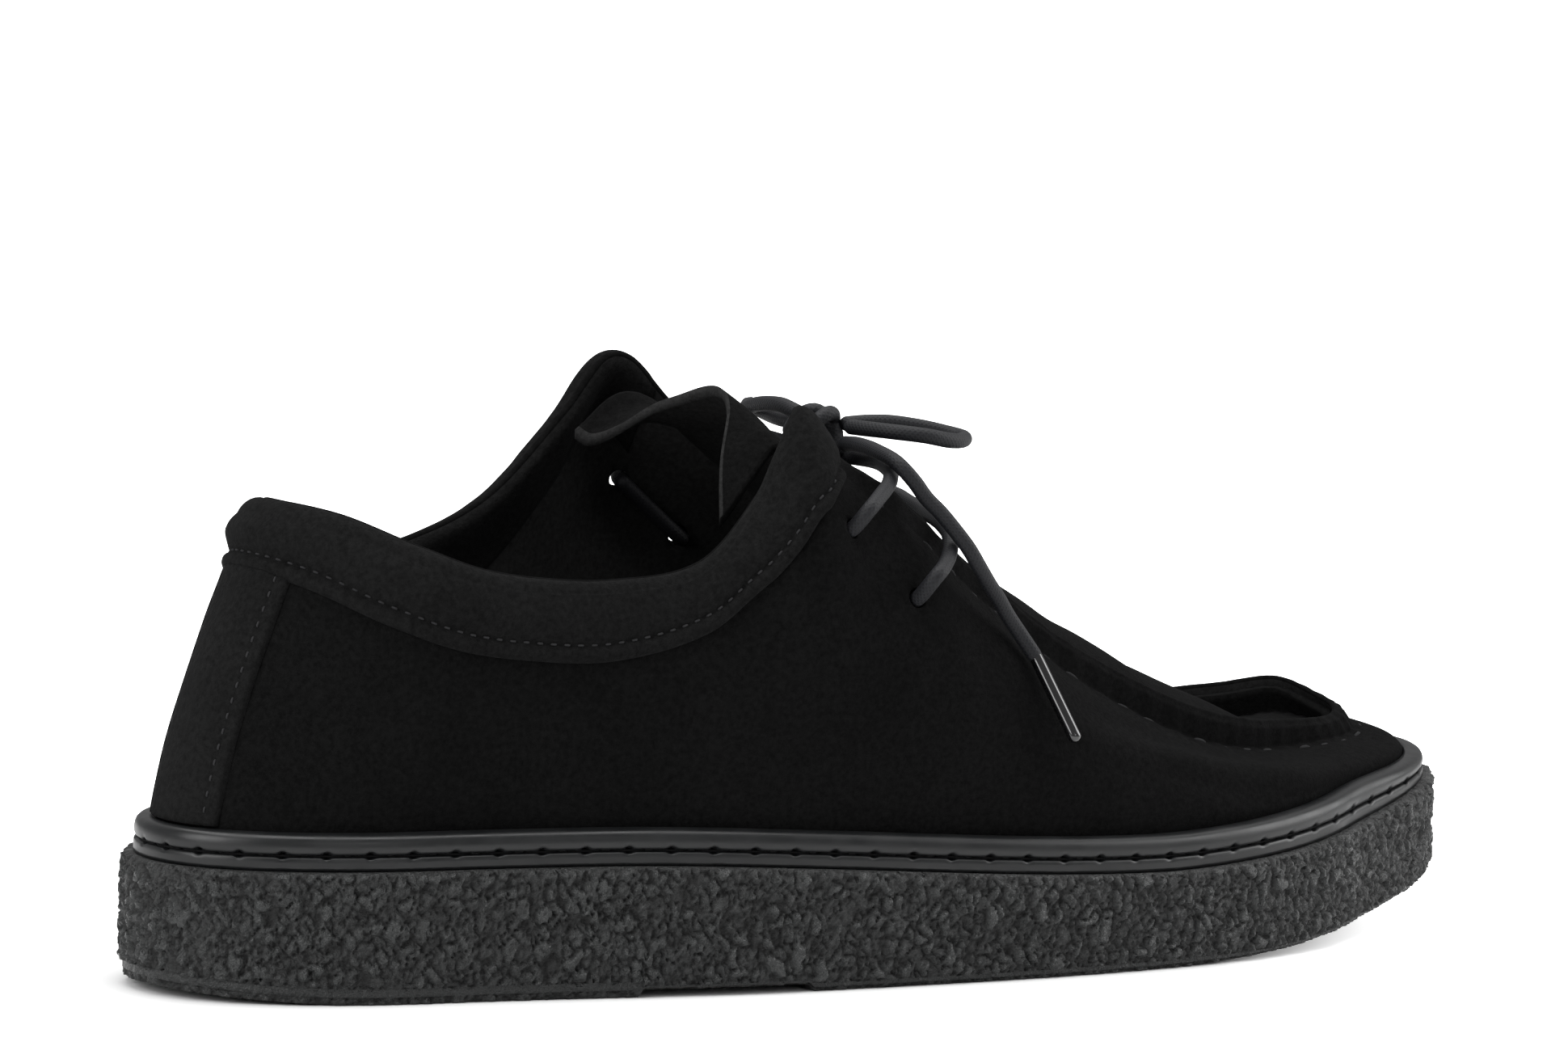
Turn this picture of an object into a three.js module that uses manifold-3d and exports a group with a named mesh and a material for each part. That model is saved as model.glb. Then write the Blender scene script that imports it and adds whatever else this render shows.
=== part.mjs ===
// A low two-eyelet moccasin shoe for the right foot, standing empty on its sole.
// Millimetres, +X to the toe, +Y to the inner side of the foot, +Z up, the floor at Z = 0.

import * as THREE from "three";
import { mergeVertices } from "three/addons/utils/BufferGeometryUtils.js";
import Module from "manifold-3d";

const wasm = await Module();
wasm.setup();

// Sole outline, measured across from the straight line between heel and toe.
const soleLength = 300;
const heelOuterHalf = 35.2;
const waistOuterHalf = 49.5;
const ballOuterHalf = 52.7;
const toeOuterHalf = 36.4;
const heelInnerHalf = 35.3;
const waistInnerHalf = 41.5;
const ballInnerHalf = 49;
const heelOffset = -1.2;
const toeOffset = 5.4;

// Sole unit.
const heelThickness = 24.9;
const ballThickness = 18.7;
const toeSpring = 10.3;
const toeExtra = 0.7;
const heelBevel = 1.8;
const archLift = 1.4;
const archStart = -65;
const archEnd = -30;
const heelTread = 3;
const ballTread = 1.6;
const treadStep = 0.8;
const edgeRound = 1.2;

// Welt and insole.
const weltHeight = 6.9;
const weltToeHeight = 4.3;
const weltSetback = 2.2;
const weltWidth = 3.9;
const grooveDepth = 1.1;
const insoleThickness = 3.5;

// Upper.
const wall = 2;
const heelHeight = 92;
const collarDip = 77.7;
const instepHeight = 109;
const innerRise = 5;
const ridgeHeight = 50;
const ballWidth = ballOuterHalf + ballInnerHalf;
const lipHeight = 6;
const heelLean = 20.4;
const eyeletBore = 4.2;

// Overlays, apron and tongue.
const bandThickness = 1.5;
const bandDrop = 17;
const stripThickness = 1.3;
const stripHalf = 15.5;
const apronThickness = 2;
const apronLip = 5;
const tongueThickness = 1.8;
const tongueHalf = 16;
const tongueRoot = 28;

// Lace.
const laceDiameter = 3;
const agletDiameter = 2.6;
const knotLength = 11;
const knotWidth = 10;
const knotHeight = 7.4;

// Clearance between pieces that meet.
const gap = 0.3;

const clamp01 = (value) => Math.min(Math.max(value, 0), 1);
const smooth = (value) => clamp01(value) ** 2 * (3 - 2 * clamp01(value));
const mix = (a, b, share) => a + (b - a) * share;
const vector = (x, y, z) => new THREE.Vector3(x, y, z);

// A smooth curve through the rows of a table, at a value of its first column.
// loop is the period of that column where the table runs round and closes.
function follow(rows, key, column, value, loop = 0) {
  const count = rows.length;
  const row = (index) => {
    const turns = Math.floor(index / count);
    const wrapped = rows[index - turns * count];
    return { at: wrapped[key] + turns * loop, of: wrapped[column] };
  };
  const pick = (index) =>
    loop ? row(index) : row(Math.min(Math.max(index, 0), count - 1));
  let spot = -1;
  while (spot + 1 < count && rows[spot + 1][key] <= value) spot += 1;
  if (!loop) spot = Math.min(Math.max(spot, 0), count - 2);
  const before = pick(spot - 1);
  const start = pick(spot);
  const end = pick(spot + 1);
  const after = pick(spot + 2);
  const span = end.at - start.at;
  const slope = (a, b) => (b.at > a.at ? (b.of - a.of) / (b.at - a.at) : 0);
  const share = loop ? (value - start.at) / span : clamp01((value - start.at) / span);
  const slopeIn = slope(before, end) * span;
  const slopeOut = slope(start, after) * span;
  const square = share * share;
  const cube = square * share;
  return (
    (2 * cube - 3 * square + 1) * start.of +
    (cube - 2 * square + share) * slopeIn +
    (3 * square - 2 * cube) * end.of +
    (cube - square) * slopeOut
  );
}

// Outline of the sole from the heel, along the outer side to the toe and back along the inner side.
// x is a share of the length, reach a length across, turn the heading in degrees.
const outlineRows = [
  { x: -0.5, reach: heelOffset, turn: -90, before: 0.36, after: 0.36 },
  { x: -0.35, reach: -heelOuterHalf, turn: -8, before: 0.36, after: 0.33 },
  { x: -0.1, reach: -waistOuterHalf, turn: -5, before: 0.33, after: 0.33 },
  { x: 0.13, reach: -ballOuterHalf, turn: 2, before: 0.33, after: 0.33 },
  { x: 0.36, reach: -toeOuterHalf, turn: 32, before: 0.33, after: 0.38 },
  { x: 0.5, reach: toeOffset, turn: 90, before: 0.42, after: 0.42 },
  { x: 0.24, reach: ballInnerHalf, turn: 180, before: 0.4, after: 0.33 },
  { x: -0.05, reach: waistInnerHalf, turn: 184, before: 0.33, after: 0.33 },
  { x: -0.33, reach: heelInnerHalf, turn: 180, before: 0.33, after: 0.36 },
];

function outlinePath(shift) {
  const path = new THREE.CurvePath();
  const corner = (row) => new THREE.Vector2(row.x * soleLength, row.reach + shift);
  const heading = (row) => {
    const angle = THREE.MathUtils.degToRad(row.turn);
    return new THREE.Vector2(Math.cos(angle), Math.sin(angle));
  };
  outlineRows.forEach((row, index) => {
    const next = outlineRows[(index + 1) % outlineRows.length];
    const start = corner(row);
    const end = corner(next);
    const chord = start.distanceTo(end);
    const leave = start.clone().addScaledVector(heading(row), chord * row.after);
    const arrive = end.clone().addScaledVector(heading(next), -chord * next.before);
    path.add(new THREE.CubicBezierCurve(start, leave, arrive, end));
  });
  return path;
}

// The outline is set so that its box is centred on the origin.
function centredPath() {
  const box = new THREE.Box2().setFromPoints(outlinePath(0).getSpacedPoints(1440));
  return outlinePath(-(box.min.y + box.max.y) / 2);
}

const outline = centredPath();

// A place on the outline, with the direction inwards, at a share of the way round.
function station(at) {
  const share = at - Math.floor(at);
  const spot = outline.getPoint(share);
  const reach = 0.0005;
  const ahead = outline.getPoint((share + reach) % 1);
  const behind = outline.getPoint((share - reach + 1) % 1);
  const along = ahead.sub(behind).normalize();
  return { x: spot.x, y: spot.y, inX: -along.y, inY: along.x };
}

const lengthShare = (x) => x / soleLength + 0.5;
const springStart = 0.66;
const bevelEnd = 0.12;
const forward = (x) => clamp01((lengthShare(x) - springStart) / (1 - springStart)) ** 2;
const rearward = (x) => clamp01((bevelEnd - lengthShare(x)) / bevelEnd) ** 2;
const soleBottom = (x) => toeSpring * forward(x) + heelBevel * rearward(x);
const thinFrom = 0.25;
const thinOver = 0.45;
const soleTop = (x) =>
  mix(heelThickness, ballThickness, smooth((lengthShare(x) - thinFrom) / thinOver)) +
  (toeSpring + toeExtra) * forward(x);

// The welt thins towards the tip of the toe.
const weltThinFrom = 0.87;
const weltAt = (x) =>
  mix(weltHeight, weltToeHeight, smooth((lengthShare(x) - weltThinFrom) / (1 - weltThinFrom)));
const weltTop = (x) => soleTop(x) + weltAt(x);

// Closed solid from a list of triangles whose faces may point either way.
function solid(points, faces) {
  const flat = new Float32Array(faces.flat().flatMap((index) => points[index].toArray()));
  const raw = new THREE.BufferGeometry();
  raw.setAttribute("position", new THREE.BufferAttribute(flat, 3));
  const merged = mergeVertices(raw, 1e-3);
  const index = merged.index.array;
  const kept = [];
  for (let i = 0; i < index.length; i += 3) {
    const [a, b, c] = [index[i], index[i + 1], index[i + 2]];
    if (a !== b && b !== c && c !== a) kept.push(a, b, c);
  }
  const made = new wasm.Manifold(
    new wasm.Mesh({
      numProp: 3,
      vertProperties: merged.attributes.position.array,
      triVerts: new Uint32Array(kept),
    }),
  );
  if (made.volume() > 0) return made;
  for (let i = 0; i < kept.length; i += 3) [kept[i], kept[i + 1]] = [kept[i + 1], kept[i]];
  return new wasm.Manifold(
    new wasm.Mesh({
      numProp: 3,
      vertProperties: merged.attributes.position.array,
      triVerts: new Uint32Array(kept),
    }),
  );
}

// Geometry of three.js as a solid, with its shared vertices merged.
function solidOf(geometry) {
  const bare = geometry.index ? geometry.toNonIndexed() : geometry;
  const spots = bare.getAttribute("position");
  const points = Array.from({ length: spots.count }, (_, i) =>
    new THREE.Vector3().fromBufferAttribute(spots, i),
  );
  const faces = Array.from({ length: spots.count / 3 }, (_, i) => [3 * i, 3 * i + 1, 3 * i + 2]);
  return solid(points, faces);
}

// A sheet with thickness from its front and back grids of points, rows by columns.
// loop closes the rows on themselves; seam leaves the last column open where it is shared.
function sheet(front, back, loop = false, seam = false) {
  const rows = front.length;
  const columns = front[0].length;
  const points = [...front.flat(), ...back.flat()];
  const shift = rows * columns;
  const faces = [];
  const quad = (a, b, c, d) => faces.push([a, b, c], [a, c, d]);
  const spot = (row, column) => (row % rows) * columns + column;
  const last = loop ? rows : rows - 1;
  for (let row = 0; row < last; row += 1) {
    for (let column = 0; column < columns - 1; column += 1) {
      const a = spot(row, column);
      const b = spot(row + 1, column);
      const c = spot(row + 1, column + 1);
      const d = spot(row, column + 1);
      quad(a, b, c, d);
      quad(d + shift, c + shift, b + shift, a + shift);
    }
    const foot = [spot(row, 0), spot(row + 1, 0)];
    quad(foot[1], foot[0], foot[0] + shift, foot[1] + shift);
    if (seam) continue;
    const head = [spot(row, columns - 1), spot(row + 1, columns - 1)];
    quad(head[0], head[1], head[1] + shift, head[0] + shift);
  }
  for (let column = 0; column < columns - 1 && !loop; column += 1) {
    const left = [spot(0, column), spot(0, column + 1)];
    quad(left[0], left[1], left[1] + shift, left[0] + shift);
    const right = [spot(rows - 1, column), spot(rows - 1, column + 1)];
    quad(right[1], right[0], right[0] + shift, right[1] + shift);
  }
  return solid(points, faces);
}

// Stations round the outline: as many on the outer side as on the inner side.
function roundShares(count, extra = []) {
  const half = Array.from({ length: count / 2 + 1 }, (_, i) => i / count);
  const outer = [...half, ...extra].sort((a, b) => a - b);
  const inner = outer.slice(1, -1).map((share) => 1 - share);
  return [...outer, ...inner.reverse()];
}

// A plate from a stack of rings, from its lowest edge to its highest.
// The first and last rings are closed across by strips between the two sides.
function plate(rings) {
  const count = rings[0].length;
  const points = rings.flat();
  const faces = [];
  rings.slice(1).forEach((_, level) => {
    const low = level * count;
    for (let i = 0; i < count; i += 1) {
      const next = (i + 1) % count;
      faces.push([low + i, low + next, low + count + next]);
      faces.push([low + i, low + count + next, low + count + i]);
    }
  });
  const top = (rings.length - 1) * count;
  for (let i = 0; i < count / 2; i += 1) {
    const other = (count - i) % count;
    const quad = [i, i + 1, count - i - 1, other];
    faces.push([quad[0], quad[2], quad[1]], [quad[0], quad[3], quad[2]]);
    faces.push([top + quad[0], top + quad[1], top + quad[2]]);
    faces.push([top + quad[0], top + quad[2], top + quad[3]]);
  }
  return solid(points, faces);
}

// A ring of points at one inset, with its height from a function of the length.
const ringAt = (shares, inset, height) =>
  shares.map((at) => {
    const s = station(at);
    const x = s.x + s.inX * inset;
    return vector(x, s.y + s.inY * inset, height(s.x));
  });

// Share of the way round, on the outer side, at a length from the middle.
function shareAt(x) {
  let low = 0;
  let high = 0.5;
  for (let step = 0; step < 40; step += 1) {
    const middle = (low + high) / 2;
    if (station(middle).x < x) low = middle;
    else high = middle;
  }
  return (low + high) / 2;
}

// Sole unit: crumb block, smooth treads under heel and ball, and the arch between them.
const treadAt = (x) => {
  if (x < archStart) return heelTread;
  return x > archEnd ? ballTread : treadStep;
};
const liftAt = (x) => (x > archStart && x < archEnd ? archLift : 0);
const stepRun = 0.6;
const stepShares = [archStart, archEnd].flatMap((x) => [shareAt(x - stepRun), shareAt(x + stepRun)]);
const soleShares = roundShares(64, stepShares);

const treadBevel = 0.4;
const sideSwell = 0.3;

function makeOutsole() {
  const low = (x) => soleBottom(x) + liftAt(x);
  const tread = (x) => low(x) + treadAt(x);
  const middle = (x) => mix(tread(x), soleTop(x), 0.5);
  return plate([
    ringAt(soleShares, treadStep + edgeRound, low),
    ringAt(soleShares, treadStep, (x) => low(x) + treadAt(x) * treadBevel),
    ringAt(soleShares, treadStep, tread),
    ringAt(soleShares, sideSwell, (x) => tread(x) + 2 * sideSwell),
    ringAt(soleShares, 0, middle),
    ringAt(soleShares, sideSwell, (x) => soleTop(x) - edgeRound),
    ringAt(soleShares, edgeRound, soleTop),
  ]);
}

// Welt: lower band, groove for the stitches and the rolled bead against the upper.
// in is a share of the width from the outer face, up a share of the height.
const weltRows = [
  { in: 0, up: 0.04 },
  { in: 0, up: 0.44 },
  { in: 0.14, up: 0.5 },
  { in: 0.14, up: 0.56 },
  { in: 0.04, up: 0.62 },
  { in: 0.02, up: 0.76 },
  { in: 0.2, up: 0.92 },
  { in: 0.5, up: 1 },
  { in: 1, up: 1 },
  { in: 1, up: 0.04 },
];
const upperShares = roundShares(72, [0.2015, 0.2155]);
const weltInner = weltSetback + weltWidth;

function makeWelt() {
  const rings = weltRows.map((row) => {
    const deep = row.in === weltRows[2].in ? grooveDepth - row.in * weltWidth : 0;
    const inset = weltSetback + row.in * weltWidth + deep;
    return ringAt(upperShares, inset, (x) => soleTop(x) + Math.max(row.up * weltAt(x), gap));
  });
  const closed = [...rings, rings[0]];
  const points = closed.flat();
  const count = upperShares.length;
  const faces = [];
  closed.slice(1).forEach((_, level) => {
    for (let i = 0; i < count; i += 1) {
      const a = level * count + i;
      const b = level * count + ((i + 1) % count);
      faces.push([a, b, b + count], [a, b + count, a + count]);
    }
  });
  return solid(points, faces);
}

// Upper: sections round the outline, from the heel by the outer side.
// inset is the top edge's setback from the sole's edge as a share of the ball width, slide its
// shift to the toe as a share of heelLean, rise its height as a share of the height named beside
// it, foot and head the leans of the wall at the welt and at the lip in degrees, low and high the
// fullness there, and lean and lip the tilt and the height of the lip as a share of lipHeight.
const outerInstep = instepHeight;
const innerInstep = instepHeight + innerRise;
const upperRows = [
  { at: 0.0, inset: 0.068, slide: 1, rise: 0.99, of: heelHeight,
    foot: 1, head: 0, low: 0.4, high: 0.3, lean: 2, lip: 1 },
  { at: 0.03, inset: 0.068, slide: 0.96, rise: 0.975, of: heelHeight,
    foot: 1, head: 0, low: 0.4, high: 0.3, lean: 2, lip: 1 },
  { at: 0.06, inset: 0.066, slide: 0.84, rise: 0.915, of: heelHeight,
    foot: -1, head: 2, low: 0.4, high: 0.3, lean: 4, lip: 1 },
  { at: 0.085, inset: 0.072, slide: 0.62, rise: 0.872, of: heelHeight,
    foot: -2, head: 4, low: 0.4, high: 0.3, lean: 6, lip: 1 },
  { at: 0.11, inset: 0.078, slide: 0.36, rise: 1.006, of: collarDip,
    foot: -3, head: 7, low: 0.4, high: 0.3, lean: 9, lip: 1 },
  { at: 0.14, inset: 0.088, slide: 0.12, rise: 1.0, of: collarDip,
    foot: -4, head: 11, low: 0.4, high: 0.3, lean: 13, lip: 1 },
  { at: 0.17, inset: 0.12, slide: 0.02, rise: 1.04, of: collarDip,
    foot: -5, head: 18, low: 0.4, high: 0.3, lean: 22, lip: 1 },
  { at: 0.19, inset: 0.165, slide: 0, rise: 0.845, of: outerInstep,
    foot: -6, head: 28, low: 0.4, high: 0.32, lean: 34, lip: 1 },
  { at: 0.2, inset: 0.19, slide: 0, rise: 0.935, of: outerInstep,
    foot: -6, head: 34, low: 0.42, high: 0.34, lean: 40, lip: 1 },
  { at: 0.208, inset: 0.21, slide: 0, rise: 1.0, of: outerInstep,
    foot: -6, head: 38, low: 0.44, high: 0.34, lean: 42, lip: 1 },
  { at: 0.222, inset: 0.22, slide: 0, rise: 0.915, of: outerInstep,
    foot: -7, head: 42, low: 0.44, high: 0.34, lean: 38, lip: 1 },
  { at: 0.242, inset: 0.222, slide: 0, rise: 0.844, of: outerInstep,
    foot: -8, head: 48, low: 0.44, high: 0.34, lean: 30, lip: 1 },
  { at: 0.268, inset: 0.225, slide: 0, rise: 0.716, of: outerInstep,
    foot: -9, head: 54, low: 0.44, high: 0.34, lean: 20, lip: 1 },
  { at: 0.31, inset: 0.225, slide: 0, rise: 1.2, of: ridgeHeight,
    foot: -11, head: 62, low: 0.44, high: 0.36, lean: 8, lip: 1 },
  { at: 0.36, inset: 0.215, slide: 0, rise: 0.936, of: ridgeHeight,
    foot: -14, head: 70, low: 0.44, high: 0.38, lean: 0, lip: 0.95 },
  { at: 0.41, inset: 0.195, slide: -0.05, rise: 0.83, of: ridgeHeight,
    foot: -14, head: 74, low: 0.4, high: 0.38, lean: -4, lip: 0.8 },
  { at: 0.46, inset: 0.155, slide: -0.25, rise: 0.8, of: ridgeHeight,
    foot: -6, head: 70, low: 0.3, high: 0.36, lean: -4, lip: 0.6 },
  { at: 0.5, inset: 0.135, slide: -0.22, rise: 0.84, of: ridgeHeight,
    foot: 2, head: 66, low: 0.3, high: 0.36, lean: -2, lip: 0.6 },
  { at: 0.54, inset: 0.155, slide: -0.06, rise: 0.89, of: ridgeHeight,
    foot: -4, head: 66, low: 0.3, high: 0.36, lean: 0, lip: 0.9 },
  { at: 0.575, inset: 0.18, slide: 0, rise: 0.855, of: ridgeHeight,
    foot: -12, head: 70, low: 0.4, high: 0.38, lean: 0, lip: 1 },
  { at: 0.61, inset: 0.195, slide: 0, rise: 0.85, of: ridgeHeight,
    foot: -14, head: 70, low: 0.44, high: 0.38, lean: 0, lip: 0.95 },
  { at: 0.65, inset: 0.2, slide: 0, rise: 0.99, of: ridgeHeight,
    foot: -12, head: 66, low: 0.44, high: 0.36, lean: 4, lip: 1 },
  { at: 0.695, inset: 0.18, slide: 0, rise: 1.25, of: ridgeHeight,
    foot: -12, head: 60, low: 0.44, high: 0.36, lean: 10, lip: 1 },
  { at: 0.735, inset: 0.15, slide: 0, rise: 0.7, of: innerInstep,
    foot: -14, head: 54, low: 0.44, high: 0.36, lean: 20, lip: 1 },
  { at: 0.76, inset: 0.135, slide: 0, rise: 0.82, of: innerInstep,
    foot: -14, head: 48, low: 0.44, high: 0.34, lean: 28, lip: 1 },
  { at: 0.778, inset: 0.125, slide: 0, rise: 0.92, of: innerInstep,
    foot: -12, head: 42, low: 0.44, high: 0.34, lean: 34, lip: 1 },
  { at: 0.79, inset: 0.11, slide: 0, rise: 0.99, of: innerInstep,
    foot: -10, head: 34, low: 0.44, high: 0.34, lean: 34, lip: 1 },
  { at: 0.8, inset: 0.095, slide: 0, rise: 0.99, of: innerInstep,
    foot: -8, head: 26, low: 0.42, high: 0.32, lean: 28, lip: 1 },
  { at: 0.812, inset: 0.08, slide: 0, rise: 0.9, of: innerInstep,
    foot: -6, head: 20, low: 0.4, high: 0.3, lean: 20, lip: 1 },
  { at: 0.835, inset: 0.055, slide: 0.02, rise: 1.12, of: collarDip,
    foot: -4, head: 12, low: 0.4, high: 0.3, lean: 14, lip: 1 },
  { at: 0.865, inset: 0.052, slide: 0.12, rise: 1.02, of: collarDip,
    foot: -3, head: 9, low: 0.4, high: 0.3, lean: 11, lip: 1 },
  { at: 0.89, inset: 0.058, slide: 0.36, rise: 1.006, of: collarDip,
    foot: -3, head: 7, low: 0.4, high: 0.3, lean: 9, lip: 1 },
  { at: 0.915, inset: 0.068, slide: 0.62, rise: 0.872, of: heelHeight,
    foot: -2, head: 4, low: 0.4, high: 0.3, lean: 6, lip: 1 },
  { at: 0.94, inset: 0.066, slide: 0.84, rise: 0.915, of: heelHeight,
    foot: -1, head: 2, low: 0.4, high: 0.3, lean: 4, lip: 1 },
  { at: 0.97, inset: 0.068, slide: 0.96, rise: 0.975, of: heelHeight,
    foot: 1, head: 0, low: 0.4, high: 0.3, lean: 2, lip: 1 },
].map((row) => ({ ...row, top: row.rise * row.of }));

const upperFoot = weltInner + gap;
const weltShare = 0.12;
const lipShare = 0.84;
const slideEase = 1.38;

// Setback and height on the outer face of the wall, at a share of the way round and of the way up.
function wallSection(at, up) {
  const share = at - Math.floor(at);
  const read = (column) => follow(upperRows, "at", column, share, 1);
  const spot = station(share);
  const floor = soleTop(spot.x) + gap;
  const rim = weltTop(spot.x);
  if (up <= weltShare) return [upperFoot, mix(floor, rim, up / weltShare), 0];
  const tilt = THREE.MathUtils.degToRad(read("lean"));
  const edge = new THREE.Vector2(read("inset") * ballWidth, read("top"));
  const lip = lipHeight * read("lip");
  const base = edge.clone().sub(new THREE.Vector2(Math.sin(tilt) * lip, Math.cos(tilt) * lip));
  const slide = (height) =>
    heelLean * read("slide") * clamp01((height - rim) / (edge.y - rim)) ** slideEase;
  if (up >= lipShare) {
    const climb = (up - lipShare) / (1 - lipShare);
    const height = mix(base.y, edge.y, climb);
    return [mix(base.x, edge.x, climb), height, slide(height)];
  }
  const start = new THREE.Vector2(upperFoot, rim);
  const chord = start.distanceTo(base);
  const handle = (from, degrees, length) => {
    const angle = THREE.MathUtils.degToRad(degrees);
    const along = new THREE.Vector2(Math.sin(angle), Math.cos(angle));
    return from.clone().addScaledVector(along, length);
  };
  const leave = handle(start, read("foot"), chord * read("low"));
  const arrive = handle(base, read("head"), -chord * read("high"));
  const curve = new THREE.CubicBezierCurve(start, leave, arrive, base);
  const spotOn = curve.getPoint((up - weltShare) / (lipShare - weltShare));
  return [spotOn.x, spotOn.y, slide(spotOn.y)];
}

function wallPoint(at, up) {
  const s = station(at);
  const [inset, height, slide] = wallSection(at, up);
  return vector(s.x + s.inX * inset + slide, s.y + s.inY * inset, height);
}

// Outward direction of the wall, kept level below the rim of the welt.
function wallNormal(at, up) {
  const stepAt = 0.002;
  const stepUp = 0.01;
  const s = station(at);
  const level = vector(-s.inX, -s.inY, 0);
  if (up <= weltShare) return level;
  const along = wallPoint(at + stepAt, up).sub(wallPoint(at - stepAt, up));
  const upFrom = Math.max(up - stepUp, weltShare);
  const rising = wallPoint(at, up + stepUp).sub(wallPoint(at, upFrom));
  return along.cross(rising).normalize();
}

// A place beside the wall: outside it by a positive distance, inside by a negative one.
const besideWall = (at, up, distance) =>
  wallPoint(at, up).addScaledVector(wallNormal(at, up), distance);

const upperUps = [0, 0.12, 0.2, 0.3, 0.4, 0.5, 0.6, 0.7, 0.78, 0.84, 0.92, 1];

function makeUpper() {
  const outer = upperShares.map((at) => upperUps.map((up) => wallPoint(at, up)));
  const inner = upperShares.map((at) => upperUps.map((up) => besideWall(at, up, -wall)));
  let body = sheet(outer, inner, true);
  eyelets.forEach((eyelet) => {
    body = body.subtract(eyeletCutter(eyelet));
  });
  return body;
}

// Eyelets, two on each side, at shares of the way round and up the wall.
const eyelets = [
  { at: 0.2175, up: 0.69 },
  { at: 0.238, up: 0.61 },
  { at: 0.782, up: 0.665 },
  { at: 0.7615, up: 0.65 },
];

function eyeletCutter({ at, up }) {
  const cutterSides = 12;
  const cutterLength = wall * 6;
  const pin = new THREE.CylinderGeometry(eyeletBore / 2, eyeletBore / 2, cutterLength, cutterSides);
  const turn = new THREE.Quaternion().setFromUnitVectors(vector(0, 1, 0), wallNormal(at, up));
  pin.applyQuaternion(turn);
  const middle = besideWall(at, up, -wall / 2);
  pin.translate(middle.x, middle.y, middle.z);
  return solidOf(pin);
}

// The upper grown by the gap and carried on above its edge, which trims what lies on it.
const trimTop = 1.1;

function grownUpper() {
  const ups = [...upperUps.slice(0, -1), trimTop];
  const outer = upperShares.map((at) => ups.map((up) => besideWall(at, up, gap)));
  const inner = upperShares.map((at) => ups.map((up) => besideWall(at, up, -wall)));
  return sheet(outer, inner, true);
}

// Collar band: from the outer corner of the throat round the heel to the inner corner.
// drop is the depth below the top edge as a share of bandDrop.
const bandRows = [
  { at: -0.22, drop: 0.35 },
  { at: -0.21, drop: 1.1 },
  { at: -0.2, drop: 1.25 },
  { at: -0.18, drop: 0.95 },
  { at: -0.14, drop: 0.88 },
  { at: -0.06, drop: 0.92 },
  { at: 0, drop: 0.83 },
  { at: 0.06, drop: 0.92 },
  { at: 0.11, drop: 0.9 },
  { at: 0.14, drop: 0.88 },
  { at: 0.165, drop: 0.8 },
  { at: 0.18, drop: 0.86 },
  { at: 0.19, drop: 1.01 },
  { at: 0.2, drop: 1.26 },
  { at: 0.208, drop: 1.32 },
  { at: 0.214, drop: 0.9 },
  { at: 0.22, drop: 0.4 },
];

// Share of the way up the wall at a distance below its top edge.
function upBelowTop(at, distance) {
  let covered = 0;
  const steps = 60;
  for (let i = steps; i > 0; i -= 1) {
    const high = wallPoint(at, i / steps);
    const low = wallPoint(at, (i - 1) / steps);
    const run = high.distanceTo(low);
    if (covered + run >= distance) return (i - (distance - covered) / run) / steps;
    covered += run;
  }
  return 0;
}

const bandUp = (at) => upBelowTop(at, bandDrop * follow(bandRows, "at", "drop", at));
const bandStart = -0.219;
const bandEnd = 0.219;

function overlay(shares, low, high, columns, thickness) {
  const grid = (distance) =>
    shares.map((at) =>
      Array.from({ length: columns + 1 }, (_, i) =>
        besideWall(at, mix(low(at), high(at), i / columns), distance),
      ),
    );
  return sheet(grid(gap + thickness), grid(-wall / 2)).subtract(grownUpper());
}

const sharesBetween = (from, to, count) =>
  Array.from({ length: count + 1 }, (_, i) => mix(from, to, i / count));

// The band takes the upper's own stations, so that both bend at the same places.
const bandShares = [
  bandStart,
  ...upperShares
    .map((at) => (at > 0.5 ? at - 1 : at))
    .filter((at) => at > bandStart && at < bandEnd)
    .sort((a, b) => a - b),
  bandEnd,
];
const makeBand = () => overlay(bandShares, bandUp, () => 1, 5, bandThickness);

// Heel strip: over the back seam, from the welt to the band.
const footProbe = 0.02;
const footSpare = 0.004;

function makeStrip() {
  const perimeter = outline.getLength();
  const half = stripHalf / perimeter;
  const foot = (at) => {
    const clear = wallPoint(at, weltShare + footProbe).z - weltTop(station(at).x);
    return weltShare + (footProbe * gap) / Math.max(clear, gap) + footSpare;
  };
  const head = (at) => bandUp(at) - gap / (2 * bandDrop);
  return overlay(sharesBetween(-half, half, 8), foot, head, 8, stripThickness);
}

// Apron: the sunken plug over the toes, with its edge turned up inside the lip.
// crown is the height along its middle as a share of the ridge's height.
const crownRows = [
  { x: -45, crown: 2.34 },
  { x: -28, crown: 2.22 },
  { x: 0, crown: 1.88 },
  { x: 18, crown: 1.67 },
  { x: 30, crown: 1.53 },
  { x: 46, crown: 1.35 },
  { x: 60, crown: 1.205 },
  { x: 80, crown: 1.01 },
  { x: 98, crown: 0.87 },
  { x: 112, crown: 0.76 },
  { x: 130, crown: 0.7 },
];
const crown = (x) => ridgeHeight * follow(crownRows, "x", "crown", x);
const apronStart = 0.272;
const apronShares = [
  apronStart,
  ...upperShares.filter((at) => at > apronStart && at < 1 - apronStart),
  1 - apronStart,
];
const spineEnd = 112;
const apronRings = [0.12, 0.3, 0.5, 0.75, 1];

// Middle of the apron's two edges at one share, and the line of its spine across the shoe.
const apronMiddle = (at, depth) =>
  besideWall(at, lipShare, -depth).add(besideWall(1 - at, lipShare, -depth)).multiplyScalar(0.5);
const spineRoot = apronMiddle(apronStart, wall);
const spineTip = apronMiddle(0.5, wall);
const spine = (x) =>
  mix(spineRoot.y, spineTip.y, clamp01((x - spineRoot.x) / (spineEnd - spineRoot.x)) ** 2);

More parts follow.
